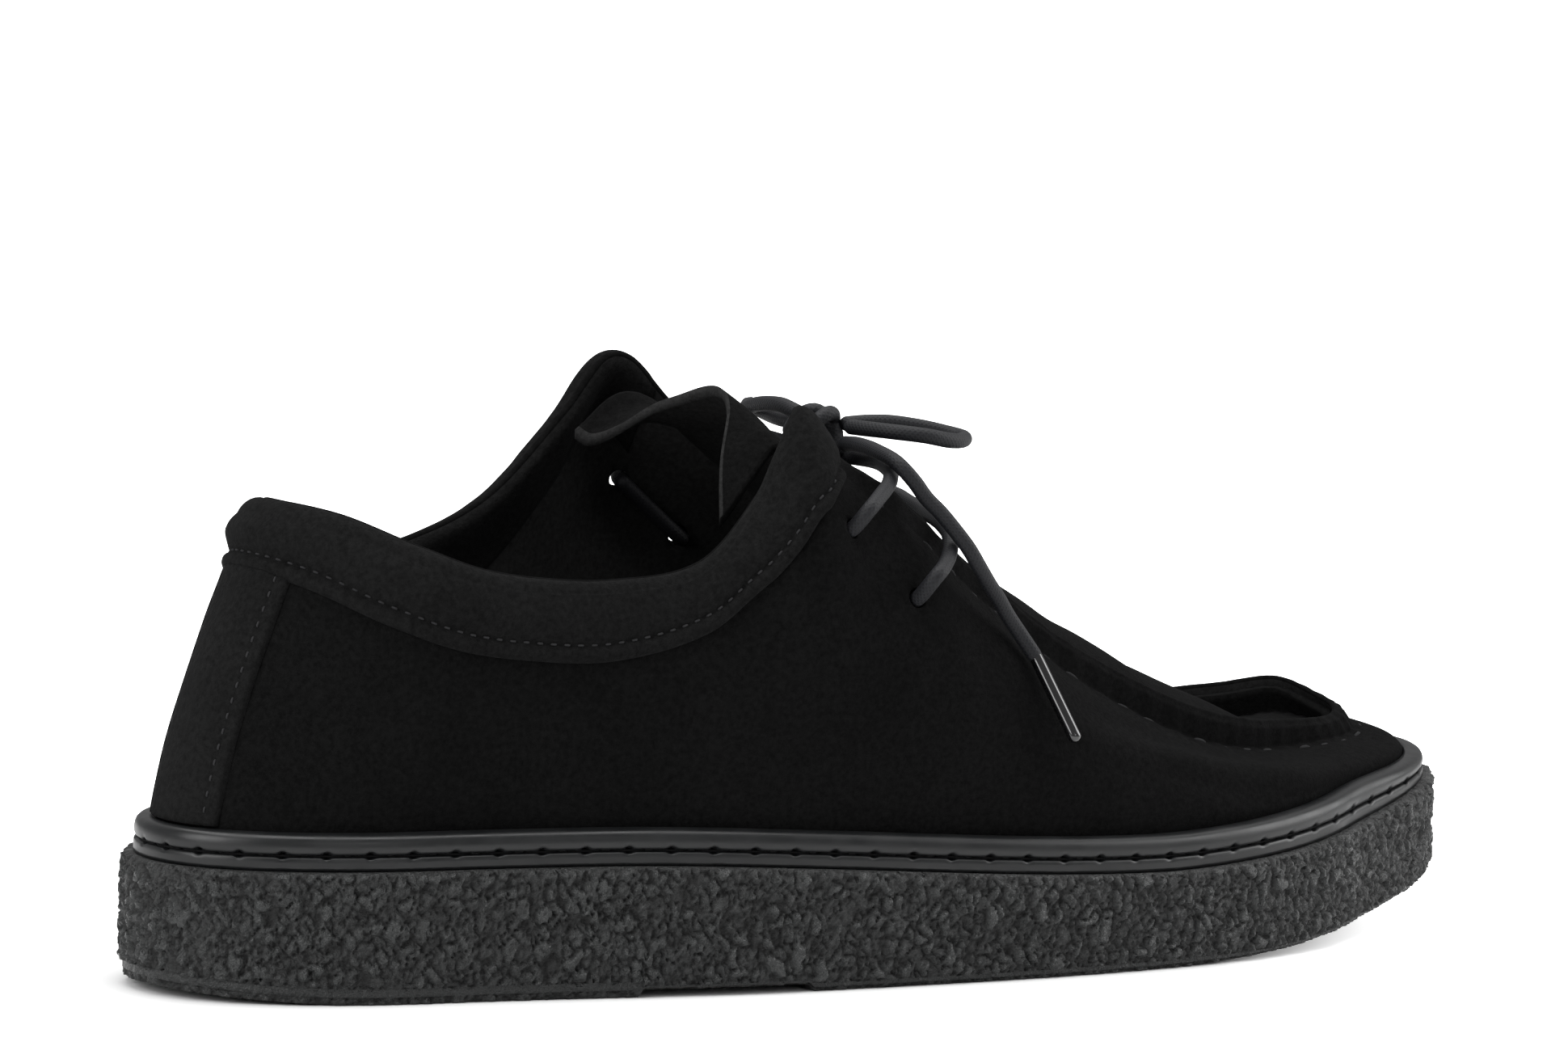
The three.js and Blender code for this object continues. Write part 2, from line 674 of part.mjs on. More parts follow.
// Apron surface: across 0 is its turned-up edge, 1 the middle line.
function apronPoint(at, across, depth) {
  const inner = wall + gap + depth;
  const top = besideWall(at, 1, -inner);
  const base = besideWall(at, lipShare, -inner);
  if (across < 0) return top.lerp(base, 1 - apronLip / lipHeight);
  if (across === 0) return base;
  const x = Math.min(apronMiddle(at, inner).x, spineEnd);
  const ease = Math.sin((across * Math.PI) / 2);
  return vector(
    mix(base.x, x, across),
    mix(base.y, spine(x), across),
    mix(base.z, crown(x) - depth, ease),
  );
}

function makeApron() {
  const rings = [-1, 0, ...apronRings];
  const grid = (depth) => apronShares.map((at) => rings.map((across) => apronPoint(at, across, depth)));
  return sheet(grid(0), grid(apronThickness), false, true);
}

// Tongue: an arched flap under the quarters, with its soft wavy end.
// side is the way across, from the outer side at -1, and the rest places its end there.
const tongueRows = [
  { side: -1, x: -40, y: -25, z: 88 },
  { side: -0.75, x: -37, y: -20, z: 98 },
  { side: -0.45, x: -31, y: -13, z: 107.5 },
  { side: -0.1, x: -28, y: -4, z: 110.5 },
  { side: 0.25, x: -31, y: 7, z: 107.5 },
  { side: 0.6, x: -37, y: 16, z: 101 },
  { side: 0.85, x: -39.5, y: 21.5, z: 98.6 },
  { side: 1, x: -40.5, y: 25, z: 99.5 },
];
const tongueDrop = 3 * gap;

// Height of the apron's underside, or of the same arch behind it, at a place on the floor plan.
function archHeight(x, y) {
  const depth = wall + gap + apronThickness;
  const at = shareAt(x);
  const [outer, inner] = [at, 1 - at].map((share) => besideWall(share, lipShare, -depth));
  const middle = (outer.y + inner.y) / 2;
  const side = y < middle ? outer : inner;
  const across = clamp01((y - middle) / (side.y - middle));
  return mix(side.z, crown(x) - apronThickness, Math.cos((across * Math.PI) / 2));
}

function tonguePoint(side, along, depth) {
  const end = (column) => follow(tongueRows, "side", column, side);
  const arch = (x, y) => archHeight(x, y) - tongueDrop;
  const x = mix(tongueRoot, end("x"), along);
  const y = mix(side * tongueHalf, end("y"), along);
  const bend = end("z") - arch(end("x"), end("y"));
  return vector(x, y, arch(x, y) + bend * along ** 3 - depth);
}

function makeTongue() {
  const sides = sharesBetween(-1, 1, 16);
  const alongs = sharesBetween(0, 1, 12);
  const grid = (depth) =>
    sides.map((side) => alongs.map((along) => tonguePoint(side, along, depth)));
  return sheet(grid(0), grid(tongueThickness));
}

function makeInsole() {
  const inset = upperFoot + wall + gap;
  return plate([
    ringAt(upperShares, inset, (x) => soleTop(x) + gap),
    ringAt(upperShares, inset, (x) => soleTop(x) + gap + insoleThickness),
  ]);
}

// Lace: each route is a list of places that its middle line passes.
const barRoute = [
  [-4.2, -45, 75.4], [-5.4, -45, 76.1], [-2.8, -43.9, 77.6], [0.5, -41.8, 79.2],
  [3.7, -38.8, 80.9], [6.4, -35.4, 82.6], [8.3, -31.8, 84.2], [10.2, -26.8, 85.3],
  [12.9, -20, 85.8], [16, -12, 86.1], [17.8, -5, 86.8], [18.8, 1.5, 87.7], [17, 10, 88.4],
  [14, 22, 87.8], [10, 32, 86.8], [5, 40.2, 84], [0, 45.6, 80.8], [-4.2, 46.7, 78.5],
];
const outerStrandRoute = [
  [-17.4, -41, 88.1], [-18.3, -40.8, 88.9], [-15.7, -39.4, 90.3], [-11.3, -36.4, 92.3],
  [-6.2, -32, 94], [-2.1, -26.8, 95.4], [0.9, -21, 95.9], [4, -13, 96.1], [5.3, -6, 95.9],
  [4.4, -1.5, 95.9], [3.4, 1.5, 96],
];
const innerStrandRoute = [
  [-18.8, 44.8, 89], [-16.5, 44.8, 90.4], [-11.5, 42, 93.6], [-6.5, 36.8, 96.8],
  [-2.5, 29.5, 98.2], [0.4, 21, 97.6], [1.8, 13, 96.8], [2.6, 6, 96.4], [3.4, 1.5, 96],
];
const outerLoopRoute = [
  [4.2, -2.5, 102.3], [7.6, -3.6, 102.6], [11.8, -5.8, 102.7], [17.6, -8.4, 101.9],
  [21.9, -11, 100.9], [23.3, -14, 100.4], [20.9, -18, 100.3], [15.3, -21.5, 100.7],
  [9.4, -21.5, 101.8], [4.6, -17.5, 102.3], [2.8, -12, 102.3], [2.1, -7, 102.2],
];
const innerLoopRoute = [
  [-1.8, 5.9, 103.9], [-1.8, 11, 104.7], [-1.4, 16, 104.5], [-0.7, 21.5, 103.7], [0, 25.5, 102.7],
  [2.2, 28, 103], [3.4, 25, 101.8], [2.6, 18, 101.2], [1.4, 11, 101.4], [0.6, 7.2, 101.4],
];
const outerEndRoute = [
  [1.6, -6, 98.9], [0.1, -12, 99.4], [-2.3, -22, 99.3], [-3.7, -31.8, 97.7], [-1.5, -33.8, 94.7],
  [1, -34.4, 91.5], [3.1, -36.2, 88.9], [5, -38.2, 85.9], [7.3, -40, 82.3], [10.2, -39.8, 78.5],
  [13, -39, 75.3], [16.2, -38, 72], [18.8, -37.4, 68.8], [21.6, -37.4, 65.4], [23.5, -38.4, 62.4],
  [24.3, -39, 61],
];
const innerEndRoute = [
  [4.7, 3.4, 101.2], [8, 8, 101.6], [10.6, 14.5, 100.6], [12.4, 22, 98], [13.8, 29, 94],
  [15, 35.5, 88.5], [16.4, 40.6, 81.6], [18, 44, 74.4], [20, 46.2, 68], [21.4, 47.4, 64],
];
const outerAgletRoute = [[24.6, -39.4, 60.4], [27.6, -48.6, 46.3]];
const innerAgletRoute = [[21.6, 47.6, 63.2], [24.4, 50.2, 47.6]];
const knotCentre = [-1.3, 0.4, 102];

// A round cord along a route, with a step for every two diameters or so.
function makeCord(route, diameter) {
  const path = new THREE.CatmullRomCurve3(route.map((place) => vector(...place)));
  const sides = 8;
  const stepLength = diameter * 1.8;
  const round = new THREE.Shape(
    Array.from({ length: sides }, (_, i) => {
      const angle = ((i + 0.5) * 2 * Math.PI) / sides;
      return new THREE.Vector2(Math.cos(angle), Math.sin(angle)).multiplyScalar(diameter / 2);
    }),
  );
  const tube = new THREE.ExtrudeGeometry(round, {
    extrudePath: path,
    steps: Math.max(2, Math.round(path.getLength() / stepLength)),
    bevelEnabled: false,
  });
  return solidOf(tube);
}

function makeKnot() {
  const ball = new THREE.SphereGeometry(0.5, 14, 10);
  ball.scale(knotLength, knotWidth, knotHeight);
  ball.translate(...knotCentre);
  return solidOf(ball);
}

const suede = { color: 0x161616, roughness: 0.95, metalness: 0 };
const suedeWorn = { color: 0x1d1c1b, roughness: 0.95, metalness: 0 };
const rubber = { color: 0x3a3b3d, roughness: 0.5, metalness: 0 };
const crumb = { color: 0x2d3030, roughness: 0.75, metalness: 0 };
const cord = { color: 0x26272a, roughness: 0.8, metalness: 0 };
const tip = { color: 0x0d0d0e, roughness: 0.2, metalness: 0 };

const shoe = new THREE.Group();

function add(name, body, finish) {
  const mesh = body.getMesh();
  const geometry = new THREE.BufferGeometry();
  geometry.setAttribute("position", new THREE.BufferAttribute(mesh.vertProperties, 3));
  geometry.setIndex(new THREE.BufferAttribute(mesh.triVerts, 1));
  geometry.computeVertexNormals();
  const piece = new THREE.Mesh(geometry, new THREE.MeshStandardMaterial(finish));
  piece.name = name;
  shoe.add(piece);
}

add("outsole", makeOutsole(), crumb);
add("welt", makeWelt(), rubber);
add("insole", makeInsole(), suedeWorn);
add("upper", makeUpper(), suede);
add("apron", makeApron(), suede);
add("tongue", makeTongue(), suede);
add("collar_band", makeBand(), suedeWorn);
add("heel_strip", makeStrip(), suedeWorn);

add("lace_bar", makeCord(barRoute, laceDiameter), cord);
add(
  "lace_crossing",
  makeCord(outerStrandRoute, laceDiameter).add(makeCord(innerStrandRoute, laceDiameter)),
  cord,
);
add("bow_knot", makeKnot(), cord);
add("bow_loop_outer", makeCord(outerLoopRoute, laceDiameter), cord);
add("bow_loop_inner", makeCord(innerLoopRoute, laceDiameter), cord);
add("lace_end_outer", makeCord(outerEndRoute, laceDiameter), cord);
add("lace_end_inner", makeCord(innerEndRoute, laceDiameter), cord);
add("aglet_outer", makeCord(outerAgletRoute, agletDiameter), tip);
add("aglet_inner", makeCord(innerAgletRoute, agletDiameter), tip);

export default shoe;
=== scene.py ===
# Looks of the moccasin shoe: a finer skin over each solid of the part, its stitches, lace and light.
# Shapes are worked out in millimetres in the part's own frame and made in metres.

import math

import bpy
import numpy as np
from mathutils import Matrix, Vector, noise


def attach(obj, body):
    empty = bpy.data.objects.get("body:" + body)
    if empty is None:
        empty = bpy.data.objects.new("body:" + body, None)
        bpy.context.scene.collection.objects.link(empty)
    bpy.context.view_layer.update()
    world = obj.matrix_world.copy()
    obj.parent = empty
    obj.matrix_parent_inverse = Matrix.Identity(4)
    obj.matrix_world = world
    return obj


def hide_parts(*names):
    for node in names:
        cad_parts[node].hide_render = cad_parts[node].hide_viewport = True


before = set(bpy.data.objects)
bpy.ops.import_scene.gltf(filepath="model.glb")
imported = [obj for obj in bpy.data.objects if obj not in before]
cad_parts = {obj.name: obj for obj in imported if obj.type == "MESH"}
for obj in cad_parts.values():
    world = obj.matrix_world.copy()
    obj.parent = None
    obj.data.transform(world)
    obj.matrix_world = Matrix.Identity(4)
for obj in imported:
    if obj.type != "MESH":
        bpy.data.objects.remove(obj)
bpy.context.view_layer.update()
mm = 0.001
noise.seed_set(1)  # without it the grains of the crumb differ in each run


def smooth(value):
    share = np.clip(value, 0, 1)
    return share * share * (3 - 2 * share)


def mix(a, b, share):
    return a + (b - a) * share


def unit(v):
    return v / np.maximum(np.linalg.norm(v, axis=-1, keepdims=True), 1e-9)


# Cubic curve from its start, its two handles and its end.
def curveAt(t, start, leave, arrive, end):
    return (1 - t) ** 3 * start + 3 * (1 - t) ** 2 * t * leave + 3 * (1 - t) * t**2 * arrive + t**3 * end


# Distance covered at each place of a line, and the places at given distances.
def runOf(line):
    return np.concatenate([[0], np.cumsum(np.linalg.norm(np.diff(line, axis=0), axis=1))])


def placesAt(distances, run, line):
    return np.stack([np.interp(distances, run, line[:, axis]) for axis in range(line.shape[1])], axis=-1)


# Value of one column of a table along its first column, by the same smooth curve as the part's.
def follow(rows, column, values, loop=False):
    keys, held = np.array(rows, dtype=float)[:, [0, column]].T
    values = np.asarray(values, dtype=float)
    if loop:
        values = values - np.floor(values)
        keys = np.concatenate([keys[-1:] - 1, keys, keys[:2] + 1])
        held = np.concatenate([held[-1:], held, held[:2]])
    else:
        keys, held = np.pad(keys, 1, "edge"), np.pad(held, 1, "edge")
    spot = np.clip(np.searchsorted(keys, values, side="right") - 1, 1, len(keys) - 3)
    slopes = (held[2:] - held[:-2]) / (keys[2:] - keys[:-2])
    span = keys[spot + 1] - keys[spot]
    share = np.clip((values - keys[spot]) / span, 0, 1)
    leave = held[spot] + slopes[spot - 1] * span / 3
    arrive = held[spot + 1] - slopes[spot] * span / 3
    return curveAt(share, held[spot], leave, arrive, held[spot + 1])


sole = {
    "length": 300.0,
    "heelThickness": 24.9,
    "ballThickness": 18.7,
    "toeSpring": 10.3,
    "toeExtra": 0.7,
    "heelBevel": 1.8,
    "bevelShare": 0.12,
    "archLift": 1.4,
    "archStart": -65.0,
    "archEnd": -30.0,
    "heelTread": 3.0,
    "ballTread": 1.6,
    "treadStep": 0.8,
    "edgeRound": 1.2,
}
welt = {"height": 6.9, "toeHeight": 4.3, "setback": 2.2, "width": 3.9, "thinFrom": 0.87}
wall = 2.0
gap = 0.3

# Outline of the sole: share of the length, reach across, heading, and the two handles.
outlineRows = [
    (-0.5, -1.2, -90, 0.36, 0.36),
    (-0.35, -35.2, -8, 0.36, 0.33),
    (-0.1, -49.5, -5, 0.33, 0.33),
    (0.13, -52.7, 2, 0.33, 0.33),
    (0.36, -36.4, 32, 0.33, 0.38),
    (0.5, 5.4, 90, 0.42, 0.42),
    (0.24, 49.0, 180, 0.4, 0.33),
    (-0.05, 41.5, 184, 0.33, 0.33),
    (-0.33, 35.3, 180, 0.33, 0.36),
]


def heading(degrees):
    turn = math.radians(degrees)
    return np.array([math.cos(turn), math.sin(turn)])


def traceOutline():
    spots = []
    for index, row in enumerate(outlineRows):
        after = outlineRows[(index + 1) % len(outlineRows)]
        start = np.array([row[0] * sole["length"], row[1]])
        end = np.array([after[0] * sole["length"], after[1]])
        chord = np.linalg.norm(end - start)
        leave = start + chord * row[4] * heading(row[2])
        arrive = end - chord * after[3] * heading(after[2])
        spots.append(curveAt(np.linspace(0, 1, 600, endpoint=False)[:, None], start, leave, arrive, end))
    path = np.concatenate(spots)
    path[:, 1] -= (path[:, 1].min() + path[:, 1].max()) / 2
    closed = np.vstack([path, path[:1]])
    return closed, runOf(closed)


outlineLine, outlineRun = traceOutline()
perimeter = outlineRun[-1]


def outlineAt(share):
    return placesAt((share - np.floor(share)) * perimeter, outlineRun, outlineLine)


# Place on the outline and direction inwards.
def station(at):
    at = np.asarray(at, dtype=float)
    spot = outlineAt(at)
    along = unit(outlineAt(at + 0.0005) - outlineAt(at - 0.0005))
    return spot, np.stack([-along[..., 1], along[..., 0]], axis=-1)


# Places at a distance inside the outline and at a height.
def insideOutline(spot, inward, inset, height):
    return np.column_stack([spot + inward * np.reshape(inset, (-1, 1)), height])


def lengthShare(x):
    return x / sole["length"] + 0.5


def forward(x):
    return np.clip((lengthShare(x) - 0.66) / 0.34, 0, 1) ** 2


def soleBottom(x):
    back = np.clip(1 - lengthShare(x) / sole["bevelShare"], 0, 1) ** 2
    return sole["toeSpring"] * forward(x) + sole["heelBevel"] * back


def soleTop(x):
    thin = smooth((lengthShare(x) - 0.25) / 0.45)
    flat = mix(sole["heelThickness"], sole["ballThickness"], thin)
    return flat + (sole["toeSpring"] + sole["toeExtra"]) * forward(x)


def weltAt(x):
    thin = smooth((lengthShare(x) - welt["thinFrom"]) / (1 - welt["thinFrom"]))
    return mix(welt["height"], welt["toeHeight"], thin)


def weltTop(x):
    return soleTop(x) + weltAt(x)


# Upper sections: share round, inset, slide, height, foot and head leans, fullness low and high,
# lean of the lip and its share of the height.
heel, dip, outerTop, innerTop, ridge = 92.0, 77.7, 109.0, 114.0, 50.0
upperRows = [
    (0.0, 0.068, 1, 0.99 * heel, 1, 0, 0.4, 0.3, 2, 1),
    (0.03, 0.068, 0.96, 0.975 * heel, 1, 0, 0.4, 0.3, 2, 1),
    (0.06, 0.066, 0.84, 0.915 * heel, -1, 2, 0.4, 0.3, 4, 1),
    (0.085, 0.072, 0.62, 0.872 * heel, -2, 4, 0.4, 0.3, 6, 1),
    (0.11, 0.078, 0.36, 1.006 * dip, -3, 7, 0.4, 0.3, 9, 1),
    (0.14, 0.088, 0.12, 1.0 * dip, -4, 11, 0.4, 0.3, 13, 1),
    (0.17, 0.12, 0.02, 1.04 * dip, -5, 18, 0.4, 0.3, 22, 1),
    (0.19, 0.165, 0, 0.845 * outerTop, -6, 28, 0.4, 0.32, 34, 1),
    (0.2, 0.19, 0, 0.935 * outerTop, -6, 34, 0.42, 0.34, 40, 1),
    (0.208, 0.21, 0, 1.0 * outerTop, -6, 38, 0.44, 0.34, 42, 1),
    (0.222, 0.22, 0, 0.915 * outerTop, -7, 42, 0.44, 0.34, 38, 1),
    (0.242, 0.222, 0, 0.844 * outerTop, -8, 48, 0.44, 0.34, 30, 1),
    (0.268, 0.225, 0, 0.716 * outerTop, -9, 54, 0.44, 0.34, 20, 1),
    (0.31, 0.225, 0, 1.2 * ridge, -11, 62, 0.44, 0.36, 8, 1),
    (0.36, 0.215, 0, 0.936 * ridge, -14, 70, 0.44, 0.38, 0, 0.95),
    (0.41, 0.195, -0.05, 0.83 * ridge, -14, 74, 0.4, 0.38, -4, 0.8),
    (0.46, 0.155, -0.25, 0.8 * ridge, -6, 70, 0.3, 0.36, -4, 0.6),
    (0.5, 0.135, -0.22, 0.84 * ridge, 2, 66, 0.3, 0.36, -2, 0.6),
    (0.54, 0.155, -0.06, 0.89 * ridge, -4, 66, 0.3, 0.36, 0, 0.9),
    (0.575, 0.18, 0, 0.855 * ridge, -12, 70, 0.4, 0.38, 0, 1),
    (0.61, 0.195, 0, 0.85 * ridge, -14, 70, 0.44, 0.38, 0, 0.95),
    (0.65, 0.2, 0, 0.99 * ridge, -12, 66, 0.44, 0.36, 4, 1),
    (0.695, 0.18, 0, 1.25 * ridge, -12, 60, 0.44, 0.36, 10, 1),
    (0.735, 0.15, 0, 0.7 * innerTop, -14, 54, 0.44, 0.36, 20, 1),
    (0.76, 0.135, 0, 0.82 * innerTop, -14, 48, 0.44, 0.34, 28, 1),
    (0.778, 0.125, 0, 0.92 * innerTop, -12, 42, 0.44, 0.34, 34, 1),
    (0.79, 0.11, 0, 0.99 * innerTop, -10, 34, 0.44, 0.34, 34, 1),
    (0.8, 0.095, 0, 0.99 * innerTop, -8, 26, 0.42, 0.32, 28, 1),
    (0.812, 0.08, 0, 0.9 * innerTop, -6, 20, 0.4, 0.3, 20, 1),
    (0.835, 0.055, 0.02, 1.12 * dip, -4, 12, 0.4, 0.3, 14, 1),
    (0.865, 0.052, 0.12, 1.02 * dip, -3, 9, 0.4, 0.3, 11, 1),
    (0.89, 0.058, 0.36, 1.006 * dip, -3, 7, 0.4, 0.3, 9, 1),
    (0.915, 0.068, 0.62, 0.872 * heel, -2, 4, 0.4, 0.3, 6, 1),
    (0.94, 0.066, 0.84, 0.915 * heel, -1, 2, 0.4, 0.3, 4, 1),
    (0.97, 0.068, 0.96, 0.975 * heel, 1, 0, 0.4, 0.3, 2, 1),
]
ballWidth = 101.7
heelLean = 20.4
lipHeight = 6.0
upperFoot = welt["setback"] + welt["width"] + gap
weltShare, lipShare = 0.12, 0.84


# Shares round, with a row of shares up for each.
def spread(ats, ups):
    ups = np.asarray(ups, dtype=float)
    return np.asarray(ats, dtype=float), np.broadcast_to(ups, (len(ats), ups.shape[-1]))


# Places on the outer face of the wall: a grid of shares round by shares up.
def wallPoints(ats, ups):
    ats, ups = spread(ats, ups)
    spot, inward = station(ats)

    def read(column):
        return follow(upperRows, column, ats, True)[:, None]

    x = spot[:, 0:1]
    floor = soleTop(x) + gap
    rim = weltTop(x)
    tilt = np.radians(read(8))
    edgeIn, edgeUp = read(1) * ballWidth, read(3)
    lip = lipHeight * read(9)
    baseIn, baseUp = edgeIn - np.sin(tilt) * lip, edgeUp - np.cos(tilt) * lip
    chord = np.hypot(baseIn - upperFoot, baseUp - rim)
    foot, head = np.radians(read(4)), np.radians(read(5))
    leaveIn, leaveUp = upperFoot + np.sin(foot) * chord * read(6), rim + np.cos(foot) * chord * read(6)
    arriveIn, arriveUp = baseIn - np.sin(head) * chord * read(7), baseUp - np.cos(head) * chord * read(7)
    t = np.clip((ups - weltShare) / (lipShare - weltShare), 0, 1)
    inset = curveAt(t, upperFoot, leaveIn, arriveIn, baseIn)
    height = curveAt(t, rim, leaveUp, arriveUp, baseUp)
    climb = (ups - lipShare) / (1 - lipShare)
    inset = np.where(ups >= lipShare, mix(baseIn, edgeIn, climb), inset)
    height = np.where(ups >= lipShare, mix(baseUp, edgeUp, climb), height)
    slide = heelLean * read(2) * np.clip((height - rim) / (edgeUp - rim), 0, 1) ** 1.38
    low = ups <= weltShare
    inset = np.where(low, upperFoot, inset)
    height = np.where(low, mix(floor, rim, ups / weltShare), height)
    slide = np.where(low, 0, slide)
    across = spot[:, 1:2] + inward[:, 1:2] * inset
    return np.stack([x + inward[:, 0:1] * inset + slide, across, height], axis=-1)


def wallNormals(ats, ups):
    ats, ups = spread(ats, ups)
    _, inward = station(ats)
    along = wallPoints(ats + 0.002, ups) - wallPoints(ats - 0.002, ups)
    rising = wallPoints(ats, ups + 0.01) - wallPoints(ats, np.maximum(ups - 0.01, weltShare))
    normal = unit(np.cross(along, rising))
    level = np.column_stack([-inward, np.zeros(len(ats))])[:, None]
    return np.where((ups <= weltShare)[..., None], level, normal)


def besideWall(ats, ups, distance):
    return wallPoints(ats, ups) + wallNormals(ats, ups) * np.asarray(distance)[..., None]


# Share of the way up at a distance below the top edge, for one distance or a row of them at each share round.
def upsBelow(ats, distances):
    fineUps = np.linspace(1, 0, 161)
    runs = np.linalg.norm(np.diff(wallPoints(ats, fineUps), axis=1), axis=2)
    covered = np.pad(np.cumsum(runs, axis=1), ((0, 0), (1, 0)))
    distances = np.broadcast_to(distances, (len(ats), *np.shape(distances)[1:]))
    return np.array([np.interp(distance, row, fineUps) for distance, row in zip(distances, covered)])


# Rows of a half round over an edge, from the outside to the inside.
def roundOver(centre, outward, rising, reach, rise, count):
    turns = [(math.cos(angle), math.sin(angle)) for angle in np.linspace(0, math.pi, count)[1:-1]]
    across, up = outward * reach[:, None], rising * np.reshape(rise, (-1, 1))
    return np.stack([centre + across * out + up * high for out, high in turns], axis=1)


def addObject(name, data):
    piece = bpy.data.objects.new(name, data)
    bpy.context.collection.objects.link(piece)
    return piece


def pickOnly(*pieces):
    bpy.ops.object.select_all(action="DESELECT")
    for piece in pieces:
        piece.select_set(True)
    bpy.context.view_layer.objects.active = pieces[0]


# Mesh from a grid of places in millimetres, rows by columns, closed either way or left open.
# kinds gives the number of the material for each strip of faces between two columns.
def meshFromGrid(name, grid, loopRows, loopColumns, capEnds=False, kinds=None):
    rows, columns = grid.shape[:2]
    row = np.arange(rows if loopRows else rows - 1)
    column = np.arange(columns if loopColumns else columns - 1)
    rowGrid, columnGrid = np.meshgrid(row, column, indexing="ij")
    nextRow, nextColumn = (rowGrid + 1) % rows, (columnGrid + 1) % columns
    corners = ((rowGrid, columnGrid), (nextRow, columnGrid), (nextRow, nextColumn), (rowGrid, nextColumn))
    faces = np.stack([down * columns + across for down, across in corners], axis=-1).reshape(-1, 4).tolist()
    if capEnds:
        faces.append(list(range(columns)))
        faces.append([(rows - 1) * columns + index for index in reversed(range(columns))])
    mesh = bpy.data.meshes.new(name)
    mesh.from_pydata((grid.reshape(-1, 3) * mm).tolist(), [], faces)
    mesh.validate()
    if kinds is not None:
        chosen = np.broadcast_to(np.asarray(kinds), rowGrid.shape).ravel().tolist()
        mesh.polygons.foreach_set("material_index", chosen + [0] * (len(faces) - len(chosen)))
    steps = np.linalg.norm(np.diff(grid, axis=0, append=grid[:1]), axis=2)
    crossSteps = np.linalg.norm(np.diff(grid, axis=1, append=grid[:, :1]), axis=2)
    alongRun = np.concatenate([[0], np.cumsum(steps.mean(axis=1))])
    crossRun = np.concatenate([[0], np.cumsum(crossSteps.mean(axis=0))])
    layer = mesh.uv_layers.new(name="millimetres")
    corner = np.zeros(len(mesh.loops), dtype=int)
    mesh.loops.foreach_get("vertex_index", corner)
    spotRow, spotColumn = corner // columns, corner % columns
    uv = np.stack([alongRun[spotRow], crossRun[spotColumn]], axis=-1)
    if loopRows or loopColumns:
        counts = np.zeros(len(mesh.polygons), dtype=int)
        mesh.polygons.foreach_get("loop_total", counts)
        owner = np.repeat(np.arange(len(counts)), counts)
        for axis, spots, runs in ((0, spotRow, alongRun), (1, spotColumn, crossRun)):
            high = np.zeros(len(counts), dtype=bool)
            np.logical_or.at(high, owner, spots == grid.shape[axis] - 1)
            uv[high[owner] & (spots == 0), axis] += runs[-1]
    layer.data.foreach_set("uv", (uv * mm).ravel())
    mesh.shade_smooth()
    return addObject(name, mesh)


def faceOutwards(piece):
    pickOnly(piece)
    bpy.ops.object.mode_set(mode="EDIT")
    bpy.ops.mesh.select_all(action="SELECT")
    bpy.ops.mesh.normals_make_consistent(inside=False)
    bpy.ops.object.mode_set(mode="OBJECT")


def applyModifiers(piece):
    pickOnly(piece)
    for modifier in list(piece.modifiers):
        bpy.ops.object.modifier_apply(modifier=modifier.name)


# Soft trough or ridge along a line of places: how far each place of a grid moves along its normal.
def fold(grid, line, width, depth):
    line = np.array(line, dtype=float)
    best = np.full(grid.shape[:-1], 1e9)
    along = np.zeros(grid.shape[:-1])
    lengths = np.linalg.norm(np.diff(line, axis=0), axis=1)
    total = lengths.sum()
    covered = 0.0
    for start, end, length in zip(line[:-1], line[1:], lengths):
        share = np.clip(((grid - start) @ (end - start)) / max(length**2, 1e-9), 0, 1)
        away = np.linalg.norm(grid - (start + share[..., None] * (end - start)), axis=-1)
        along = np.where(away < best, (covered + share * length) / total, along)
        best = np.minimum(best, away)
        covered += length
    taper = np.sin(np.pi * np.clip(along, 0.02, 0.98)) ** 0.7
    return depth * taper * np.exp(-((best / width) ** 2))


# Smooth random relief of about one unit, from places in millimetres.
def relief(grid, size, seed=0.0):
    values = [noise.noise(Vector(place)) for place in grid.reshape(-1, 3) / size + seed]
    return np.array(values).reshape(grid.shape[:-1])


# Camera, fitted to the outline of the sole in the photo.
def makeCamera():
    place = Vector((-1.2176, -1.7606, 0.3244))
    ahead = Vector((0.56346, 0.8156, -0.13161))
    right = Vector((0.82485, -0.56431, 0.03431))
    up = Vector((0.04628, 0.12789, 0.99071))
    pixels = {"focal": 13800.8, "across": 996.3, "down": 917.7, "width": 1940.0, "height": 1294.0}
    sensor = 36
    aim = (
        ahead
        + right * ((pixels["width"] / 2 - pixels["across"]) / pixels["focal"])
        - up * ((pixels["height"] / 2 - pixels["down"]) / pixels["focal"])
    ).normalized()
    side = aim.cross(up).normalized()
    lift = side.cross(aim).normalized()
    camera = bpy.data.cameras.new("camera")
    camera.sensor_width = sensor
    camera.sensor_fit = "HORIZONTAL"
    camera.lens = pixels["focal"] * sensor / pixels["width"]
    camera.clip_end = 20
    piece = addObject("camera", camera)
    turned = Matrix((side, lift, -aim)).transposed()
    piece.matrix_world = Matrix.Translation(place) @ turned.to_4x4()
    bpy.context.scene.camera = piece
    print("camera set")


makeCamera()


def srgb(code):
    values = [int(code[index : index + 2], 16) / 255 for index in (1, 3, 5)]
    return [*(v / 12.92 if v <= 0.04045 else ((v + 0.055) / 1.055) ** 2.4 for v in values), 1.0]


# Sets the inputs of a node, or links them to a socket or to another node's first output.
def setInputs(tree, node, inputs):
    for name, value in inputs.items():
        if isinstance(value, bpy.types.Node):
            value = value.outputs[0]
        if isinstance(value, bpy.types.NodeSocket):
            tree.links.new(value, node.inputs[name])
        else:
            node.inputs[name].default_value = value


